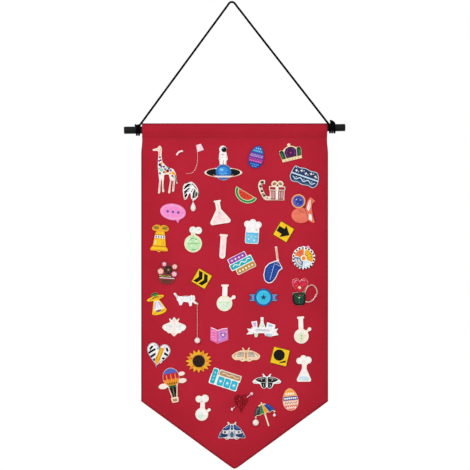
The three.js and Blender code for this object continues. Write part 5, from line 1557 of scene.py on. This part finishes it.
def outline(shapes):
    """Outer and inner loops of shapes joined together, material on their left."""
    coords, faces = [], []
    for shape in shapes:
        loop = ccw(tidy(shape))
        faces.append(list(range(len(coords), len(coords) + len(loop))))
        coords += [Vector(p) for p in loop]
    verts, _, tris, _, _, source = delaunay_2d_cdt(coords, [], faces, INSIDE_ONLY, MERGE_GAP, True)
    edges = set()
    for tri, of in zip(tris, source):
        if of:
            edges |= {(tri[i], tri[(i + 1) % 3]) for i in range(3)}
    after = {}
    for a, b in edges:
        if (b, a) not in edges:
            after.setdefault(a, []).append(b)
    loops = []
    while after:
        start = here = min(after)
        loop = []
        while not loop or here != start:
            loop.append((verts[here].x, verts[here].y))
            nexts = after[here]
            step = nexts.pop()
            if not nexts:
                del after[here]
            here = step
        loop = tidy(loop, LOOP_STEP)
        if len(loop) > 2 and abs(area(loop)) > LEAST_AREA:
            loops.append(loop)
    return loops


def level(loop, z):
    return [(x, y, z) for x, y in loop]


def filled(loops, z, up=True):
    """Flat fill of loops at a height, facing up or down."""
    flat = [p for loop in loops for p in loop]
    faces = []
    for tri in tessellate_polygon([[Vector((x, y, 0)) for x, y in loop] for loop in loops]):
        (ax, ay), (bx, by), (cx, cy) = [flat[i] for i in tri]
        rising = (bx - ax) * (cy - ay) > (by - ay) * (cx - ax)
        faces.append(tri if rising == up else tri[::-1])
    return level(flat, z), faces


def walls(loops, steps):
    """Walls up through pairs of inward move and height, material on the left of each loop."""
    verts, faces = [], []
    for loop in loops:
        n = len(loop)
        for k, (move, z) in enumerate(steps):
            if k:
                faces += joined(len(verts) - n, len(verts), n)
            verts += level(moved(loop, move), z)
    return verts, faces


def eased(high, ease):
    """Steps of a wall with an eased upper edge."""
    return [(0, high - ease), (ease * 0.3, high - ease * 0.3), (ease, high)]


def slab(piece, loop, low, high, material, ease=0):
    """Closed flat body, its upper edge eased."""
    steps = eased(high, ease) if ease else [(0, high)]
    piece.add(*walls([loop], [(0, low)] + steps), material)
    piece.add(*filled([moved(loop, ease)], high), material)
    piece.add(*filled([loop], low, up=False), material)


def plate(piece, loops, wells, material):
    """Struck plate: eased edge, and a well for each enamel cell."""
    holes = [ccw(tidy(well))[::-1] for well in wells]
    foot = [(UNDER_EASE, FIT_GAP), (0, FIT_GAP + UNDER_EASE)]
    piece.add(*walls(loops, foot + eased(PLATE_TOP, PLATE_EASE)), material)
    piece.add(*walls(holes, [(0, WELL_FLOOR), (0, PLATE_TOP - LIP), (LIP, PLATE_TOP)]), material)
    top = [moved(loop, PLATE_EASE) for loop in loops] + [moved(hole, LIP) for hole in holes]
    piece.add(*filled(top, PLATE_TOP), material)
    piece.add(*filled([moved(loop, UNDER_EASE) for loop in loops], FIT_GAP, up=False), material)
    for hole in holes:
        piece.add(*filled([hole], WELL_FLOOR), material)


def band(piece, outer, width, low, high, material):
    """Closed raised line of even width along the inside of an outline."""
    inner = moved(outer, width)
    corners = [level(outer, low), level(outer, high), level(inner, high), level(inner, low)]
    piece.add(*rings(corners, wrap=True), material)


def dome(piece, shape, low, high, material):
    """Rounded stone on an outline."""
    loop = ccw(tidy(shape))
    cx, cy = [sum(values) / len(loop) for values in zip(*loop)]
    piece.add(*rings([[(cx + (x - cx) * share, cy + (y - cy) * share, low + (high - low) * rise)
                       for x, y in loop] for share, rise in DOME]), material)


def clutch(piece, spot):
    """Butterfly clutch on a post: a pressed disc, a collar and two sprung wings."""
    x0, y0 = spot
    brass = finish("brass")
    piece.add(*turned([(r, BACK - depth) for r, depth in CLUTCH], CLUTCH_SIDES, spot), brass)
    for side in (-1, 1):
        loops = []
        for i, (x, depth) in enumerate(WING):
            half = WING_HALF_WIDTH - WING_TAPER * i
            start, end = Vector(WING[max(i - 1, 0)]), Vector(WING[min(i + 1, len(WING) - 1)])
            d = (end - start).normalized() * WING_HALF_THICKNESS
            loops.append([(x0 + side * (x - sign * d.y), y0 + y, BACK - (depth + sign * d.x))
                          for sign, y in ((1, -half), (1, half), (-1, half), (-1, -half))])
        verts, faces = rings(loops)
        piece.add(verts, faces if side > 0 else [f[::-1] for f in faces], brass)
    piece.add(*turned(POST, POST_SIDES, spot), finish("silver"))


def pin_piece(name, board):
    """Struck plate with its enamel, marks, stones, wires, clutches and pegs."""
    piece = Piece("enamel_" + name)
    lugs = [board.disc(x, y, 100 * LUG_RADIUS / board.width) for x, y in board.lugs]
    plate(piece, outline(board.edges + lugs), [cell for cell, _ in board.cells], finish(board.base))
    for cell, colour in board.cells:
        slab(piece, moved(ccw(tidy(cell)), -CELL_SPILL), WELL_FLOOR - CELL_SINK, ENAMEL_TOP, finish(colour))
    for layer, (shapes, colour) in enumerate(board.marks):
        top = PLATE_TOP + MARK_RISE + LAYER * layer
        for shape in shapes:
            if shape[0] == "ring":
                _, outer, width = shape
                band(piece, ccw(tidy(outer)), width, MARK_FOOT, top, finish(colour))
            else:
                slab(piece, ccw(tidy(shape, MARK_STEP)), MARK_FOOT, top, finish(colour), MARK_EASE)
    for shape, colour in board.stones:
        dome(piece, shape, STONE_FOOT, PLATE_TOP + STONE_RISE + LAYER * len(board.marks), finish(colour))
    for path, radius, metal in board.wires:
        line = smooth(level(path, FIT_GAP + radius), WIRE_STEP)[0]
        piece.add(*tube(line, radius, WIRE_SIDES), finish(metal))
    for spot in board.posts:
        clutch(piece, board.place(*spot))
    for spot in board.lugs:
        metal = finish(board.base if board.base in METALS else "silver")
        piece.add(*turned(PEG, PEG_SIDES, board.place(*spot)), metal)
    return piece


lug_spots = {}
for design, across, down, width, height, turn in PINS:
    name = "pin_" + design.__name__
    board = Board(width, height)
    design(board)
    local = Matrix.Translation((across, -down, 0)) @ Matrix.Rotation(math.radians(turn), 4, "Z")
    badge = pin_piece(name, board).build(FACE @ local, crease=40)
    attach(badge, "banner")
    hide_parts(name)
    lug_spots[name] = [local @ Vector((*board.place(x, y), 0)) for x, y in board.lugs]

# Charms: an eye on the peg, links and a flat-backed pearl
EYE_HEIGHT = 2.6
EYE_RADIUS = 1.22
EYE_WIRE = 0.36
EYE_POINTS = 20
CHAIN_TOP = -1.3
CHAIN_LAP = 0.2
LINK_PITCH = 3.2
LINK_LAP = 0.3
LINK_HALF = 0.46
LINK_WIRE = 0.22
LINK_POINTS = 14
LINK_SIDES = 6
CAP = ((0.1, 0), (0.9, 0.05), (1.0, 0.35), (0.75, 0.7), (0.1, 0.8))
CAP_SIDES = 12
CAP_SEAT = 0.5
CAP_FLATNESS = 0.6
PEARL_SIDES = 28
PEARL_FOOT = 2.2
NARROW_FROM = 0.35
PEARL = ((0.1, 0.0), (0.86, 0.0), (0.96, 0.04), (1.0, 0.12), (0.985, 0.25), (0.93, 0.42), (0.83, 0.6),
         (0.68, 0.76), (0.5, 0.88), (0.3, 0.96), (0.1, 0.998), (0.01, 1.0))


def closed_tube(points, radius, sides):
    """Closed ring of wire through points."""
    line = np.asarray(points, dtype=float)
    along = np.roll(line, -1, axis=0) - np.roll(line, 1, axis=0)
    along /= np.linalg.norm(along, axis=1)[:, None]
    centre = line.mean(axis=0)
    flat = np.cross(line[0] - centre, line[len(line) // 4] - centre)
    flat /= np.linalg.norm(flat)
    return rings([[p + radius * (math.cos(a) * np.cross(t, flat) + math.sin(a) * flat) for a in turns(sides)]
                  for p, t in zip(line, along)], wrap=True)


def link(top, bottom, edgewise):
    """Oval link of a chain, flat or edgewise to the viewer."""
    points = []
    for a in turns(LINK_POINTS):
        across, y = LINK_HALF * math.cos(a), (top + bottom) / 2 + (top - bottom) / 2 * math.sin(a)
        points.append((0, y, EYE_HEIGHT + across) if edgewise else (across, y, EYE_HEIGHT))
    return closed_tube(points, LINK_WIRE, LINK_SIDES)


def charm_piece(name, drop, half_width, half_height, depth, point, metal):
    """Eye, links, cap and pearl; point is how far the pearl narrows upwards."""
    piece = Piece("pearl_" + name)
    wire = finish(metal)
    eye = [(EYE_RADIUS * math.cos(a), EYE_RADIUS * math.sin(a), EYE_HEIGHT) for a in turns(EYE_POINTS)]
    piece.add(*closed_tube(eye, EYE_WIRE, WIRE_SIDES), wire)
    run = CHAIN_TOP + drop - half_height + CHAIN_LAP
    count = max(1, int(round(run / LINK_PITCH)))
    pitch = run / count
    for k in range(count):
        y = CHAIN_TOP - k * pitch
        piece.add(*link(y + LINK_LAP, y - pitch - LINK_LAP, k % 2 == 1), wire)
    verts, faces = turned(CAP, CAP_SIDES)
    seat = half_height - drop - CAP_SEAT
    piece.add([(x, seat + z, EYE_HEIGHT + y * CAP_FLATNESS) for x, y, z in verts], faces, wire)
    loops = []
    for share, rise in PEARL:
        ring = []
        for a in turns(PEARL_SIDES):
            up = math.sin(a)
            narrow = 1 - point * max(up + NARROW_FROM, 0) / (1 + NARROW_FROM)
            across = half_width * share * math.cos(a) * narrow
            ring.append((across, half_height * share * up - drop, PEARL_FOOT + depth * rise))
        loops.append(ring)
    piece.add(*rings(loops), finish("pearl"))
    return piece


# Name, pin, lug, drop, half width, half height, depth, narrowing and metal
CHARMS = [
    ("zebra_drop_charm", "pin_zebra", 0, 10.5, 4.7, 7.4, 3.6, 0.5, "silver"),
    ("cat_ball_charm", "pin_cat", 0, 59.5, 4.7, 4.7, 4.4, 0, "rosegold"),
    ("umbrella_large_charm", "pin_umbrella", 0, 8.2, 5.2, 5.2, 4.2, 0, "silver"),
    ("umbrella_small_charm", "pin_umbrella", 1, 6, 2.4, 2.4, 2.4, 0, "silver"),
]
for name, pin_name, lug, *form in CHARMS:
    place = FACE @ Matrix.Translation(lug_spots[pin_name][lug])
    charm = charm_piece(name, *form).build(place, crease=45)
    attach(charm, name)
    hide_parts(name)

# Cloth: one sheet over the dowel, sewn to itself below it, with turned hems
EDGE_STEPS = [0, 0.25, 0.6, 1.1, 2.0, 3.2, 4.8, 6.4, 7.4, 8.2, 8.8, 9.4, 10.4, 12.4]
COLUMN_STEP = 2.6
PANEL_ROWS = 203
TIP_EASE = 2.6
TIP_SHARE = 0.35
INSET_REACH = 26
RIPPLE_REACH = 22
HEM_LINE = 7.8
HEM_FROM = 9.5
HEM_FULL = 8.7
HEM_PULL = 0.12
SEAM_PULL = 0.18
HEM_PULL_REACH = 0.9
EDGE_ROUND = 0.6
EDGE_LEAST = 0.04
LOOSE_FROM = 1.0
LOOSE_FULL = 16.0
# Where the sides of the cloth begin to lean back, and how far
RIGHT_LEAN_FROM = 138
RIGHT_LEAN = 1.0
LEFT_LEAN_FROM = 142
LEFT_LEAN = 0.5
FLAP_ROWS = 4
FLAP_STEP = 0.35
POCKET_STEP = 1.3
POCKET_LOW = -POCKET_OUTER - SLOPE * BANNER_WIDTH - POCKET_EASE
MID = POCKET_OUTER - CLOTH / 2
# Section of the pocket: depth behind the face and height, from the flap over the dowel to the panel
pocket = [(1.08, -29.0), (1.08, -27.5), (1.08, -25.6), (1.3, -24.4), (2.9, -21.2), (5.2, -16.6), (6.5, -13.6),
          (MID, POCKET_LOW + 2.6)]
pocket += [(MID * math.cos(a), -POCKET_OUTER + MID * math.sin(a)) for a in np.linspace(0, math.pi, 17)]
pocket += [(-MID, POCKET_LOW + 2.6), (-6.45, -13.6), (-4.9, -16.9), (-2.1, -21.9), (-0.35, -24.6), (0, -25.8)]
pocket = smooth(pocket, POCKET_STEP)[0]
panel_top = pocket[-1][1]
held_spots = [(across, -down, 0.5 * max(width, height)) for _, across, down, width, height, _ in PINS]


def lower_edge(x):
    """Height of the foot of the cloth, with a blunt tip."""
    rise = math.sqrt(x * x + TIP_EASE * TIP_EASE) - TIP_EASE * TIP_SHARE
    return -(SIDE_LENGTH + POINT_DEPTH * (1 - min(rise, HALF) / HALF))


def columns():
    """Places across the cloth, closer together at its hems."""
    edge = HALF - EDGE_STEPS[-1]
    inner = np.linspace(-edge, edge, int(round(2 * edge / COLUMN_STEP)) + 1)
    return [d - HALF for d in EDGE_STEPS[:-1]] + list(inner) + [HALF - d for d in EDGE_STEPS[-2::-1]]


def step_between(a, b, v):
    """Soft step from 0 at a to 1 at b."""
    t = min(max((v - a) / (b - a), 0.0), 1.0)
    return t * t * (3 - 2 * t)


def ripple(x, y):
    """Slow waves where no pin holds the cloth flat, and edges that lean back a little."""
    room = min(math.dist((x, y), (cx, cy)) - r for cx, cy, r in held_spots)
    loose = step_between(LOOSE_FROM, LOOSE_FULL, room)
    wave = 0.55 * math.sin(0.048 * x + 0.012 * y + 0.6) * math.sin(0.021 * y + 1.1)
    wave += 0.25 * math.sin(0.11 * x - 0.03 * y)
    lean = RIGHT_LEAN * step_between(RIGHT_LEAN_FROM, HALF, x)
    lean += LEFT_LEAN * step_between(LEFT_LEAN_FROM, HALF, -x)
    return -loose * (wave - 0.2) - lean


def cloth_grid(xs):
    """Middle of the cloth in rows, from the end of the flap over the dowel down to the foot."""
    rows = [[(x * (1 - POCKET_INSET / HALF), z, -CLOTH / 2 - depth) for x in xs] for depth, z in pocket]
    tail = [d * SLANT for d in EDGE_STEPS[::-1]]
    for share in np.linspace(0, 1, PANEL_ROWS + 1)[1:]:
        row = []
        for x in xs:
            y = panel_top + (lower_edge(x) + tail[0] - panel_top) * share
            below = panel_top - y
            narrow = 1 - POCKET_INSET / HALF * (1 - step_between(0, INSET_REACH, below))
            row.append((x * narrow, y, -CLOTH / 2 + ripple(x, y) * step_between(0, RIPPLE_REACH, below)))
        rows.append(row)
    for d in tail[1:]:
        rows.append([(x, lower_edge(x) + d, -CLOTH / 2 + ripple(x, lower_edge(x) + d)) for x in xs])
    return np.array(rows)


def cloth_depths(grid, xs):
    """How far the front and the back stand off the middle: rounded edges, hems, and pulled-in seams."""
    front = np.zeros(grid.shape[:2])
    back = np.zeros(grid.shape[:2])
    for i, row in enumerate(grid):
        for j, x in enumerate(xs):
            on_panel = i >= len(pocket)
            foot = (row[j, 1] - lower_edge(x)) / SLANT if on_panel else HALF
            if i < FLAP_ROWS:
                foot = FLAP_STEP * i
            near = min(HALF - abs(x), foot)
            half = CLOTH / 2 * math.sqrt(max(1 - (1 - min(near / EDGE_ROUND, 1)) ** 2, EDGE_LEAST))
            front[i, j] = back[i, j] = half
            if on_panel:
                hem = HEM_THICKNESS * step_between(HEM_FROM, HEM_FULL, near) * step_between(0, 0.5, near)
                back[i, j] += hem - HEM_PULL * math.exp(-((near - HEM_LINE) / HEM_PULL_REACH) ** 2)
            if i >= len(pocket) // 2:
                front[i, j] -= SEAM_PULL * math.exp(-(row[j, 1] + POCKET_DEPTH) ** 2)
    return front, back


def cloth_faces(count, wide):
    """Faces of the front, the back and the rim between them."""
    size = count * wide
    faces = []
    for i in range(count - 1):
        for j in range(wide - 1):
            a, b, c, d = i * wide + j, i * wide + j + 1, (i + 1) * wide + j + 1, (i + 1) * wide + j
            faces += [(d, c, b, a), (size + a, size + b, size + c, size + d)]
    border = list(range(wide)) + [i * wide + wide - 1 for i in range(1, count)]
    border += [size - wide + j for j in range(wide - 2, -1, -1)]
    border += [i * wide for i in range(count - 2, 0, -1)]
    return faces + [(a, b, size + b, size + a) for a, b in zip(border, border[1:] + border[:1])]


xs = columns()
grid = cloth_grid(xs)
normal = np.cross(np.gradient(grid, axis=0), np.gradient(grid, axis=1))
normal /= np.linalg.norm(normal, axis=2)[:, :, None]
front, back = cloth_depths(grid, xs)
sides = [grid + normal * front[:, :, None], grid - normal * back[:, :, None]]
run = lengths(grid[:len(pocket), len(xs) // 2])
pocket_run = run[-1]
cloth_uvs = grid[:, :, :2].copy()
cloth_uvs[:len(pocket), :, 1] = (panel_top + pocket_run - run)[:, None]
cloth = Piece("pennant_cloth")
cloth_verts = np.vstack([side.reshape(-1, 3) for side in sides])
cloth.add(cloth_verts, cloth_faces(*grid.shape[:2]), canvas_material())
pennant = cloth.build(FACE, crease=65, uvs=np.vstack([cloth_uvs.reshape(-1, 2)] * 2) * MM)
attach(pennant, "banner")
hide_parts("canvas_panel", "rod_pocket")

# Stitches along the hems and below the dowel
STITCH = 2.5
STITCH_STEP = 3.4
STITCH_RADIUS = 0.27
STITCH_SIDES = 6
SEAM_END = 3
HEM_TOP = -31
WAVE_TOP = -26
SEAM_LIFT = 0.02
HEM_LIFT = 0.06
STITCH_FORM = ((-0.5, 0.35), (-0.36, 0.95), (0.0, 1.0), (0.36, 0.95), (0.5, 0.35))


def stitch_rows():
    """Ends of each row of stitches, the seam of the pocket first."""
    side = HALF - HEM_LINE
    shoulder = lower_edge(side) + HEM_LINE * SLANT
    tip = lower_edge(0) + HEM_LINE * SLANT
    rows = [[(SEAM_END - HALF, -POCKET_DEPTH), (HALF - SEAM_END, -POCKET_DEPTH)]]
    rows += [[(sign * side, HEM_TOP), (sign * side, shoulder)] for sign in (-1, 1)]
    return rows + [[(sign * side, shoulder - 1), (sign * 1.5, tip)] for sign in (-1, 1)]


def stitch(x, y, z, turn):
    """One stitch, thinner at its ends."""
    loops = []
    for t, share in STITCH_FORM:
        ring = []
        for a in turns(STITCH_SIDES):
            cx, cy = swung(t * STITCH, STITCH_RADIUS * share * math.cos(a), turn)
            ring.append((x + cx, y + cy, z + STITCH_RADIUS * share * math.sin(a)))
        loops.append(ring)
    return rings(loops)


stitch_piece = Piece("stitches")
thread = thread_material()
for index, (start, end) in enumerate(stitch_rows()):
    length = math.dist(start, end)
    along = Vector([(b - a) / length for a, b in zip(start, end)])
    for k in range(int(length / STITCH_STEP)):
        x, y = Vector(start) + along * (k + 0.5) * STITCH_STEP
        heights = [SEAM_LIFT]
        if index:
            wave = ripple(x, y) * step_between(0, RIPPLE_REACH, WAVE_TOP - y)
            heights = [wave + HEM_LIFT, wave - CLOTH - HEM_THICKNESS - SEAM_LIFT]
        for z in heights:
            stitch_piece.add(*stitch(x, y, z, math.atan2(along.y, along.x)), thread)
stitches = stitch_piece.build(FACE, crease=60)
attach(stitches, "banner")

# Stage: pale floor below, soft light, white beyond
FLOOR_DROP = 0.9
FLOOR_CORNERS = ((-1.2, -1.0), (1.2, -1.0), (1.2, 0.7), (-1.2, 0.7))
LAMP_AIM = Vector((0, 0, -0.4))
# Name, place, size and power
LAMPS = (("key", (-0.9, -1.5, 0.5), 0.7, 13.7), ("fill", (1.2, -1.6, -0.2), 1.2, 5.3))
WORLD_LIGHT = 0.63
BACKDROP_LIGHT = 1.0


def floor_material():
    s = Shader("floor_pale")
    speck = s.noise(s.coords(), 9.0, 4.0)
    s.set(Base_Color=s.ramp(speck, (0.3, (0.86, 0.86, 0.86, 1)), (0.7, (0.9, 0.9, 0.9, 1))))
    s.set(Roughness=s.span(speck, 0.7, 0.85))
    return s.material


floor_mesh = bpy.data.meshes.new("floor")
floor_mesh.from_pydata(level(FLOOR_CORNERS, -FLOOR_DROP), [], [(0, 1, 2, 3)])
floor_mesh.materials.append(floor_material())
floor = added("floor", floor_mesh)
floor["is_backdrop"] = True

for name, place, size, power in LAMPS:
    lamp_data = bpy.data.lights.new(name, "AREA")
    lamp_data.size = size
    lamp_data.energy = power
    lamp = added(name, lamp_data)
    lamp.location = place
    lamp.rotation_euler = (LAMP_AIM - Vector(place)).to_track_quat("-Z", "Y").to_euler()

world = bpy.data.worlds.new("studio")
scene.world = world
world.use_nodes = True
world.node_tree.nodes.clear()
sky = Nodes(world.node_tree)
rays = sky.add("LightPath").outputs
seen = sky.math("MAXIMUM", rays["Is Camera Ray"], rays["Is Glossy Ray"])
seen = sky.math("MAXIMUM", seen, rays["Is Transmission Ray"])
light, backdrop = [sky.add("Background", {"Color": WHITE, "Strength": strength}).outputs[0]
                   for strength in (WORLD_LIGHT, BACKDROP_LIGHT)]
mix = sky.add("MixShader", {0: seen, 1: light, 2: backdrop})
sky.add("OutputWorld", {0: mix.outputs[0]})

boxes = {"cad": cad_box, "visual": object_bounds()}
{key: [[float(v) for v in corner] for corner in box] for key, box in boxes.items()}
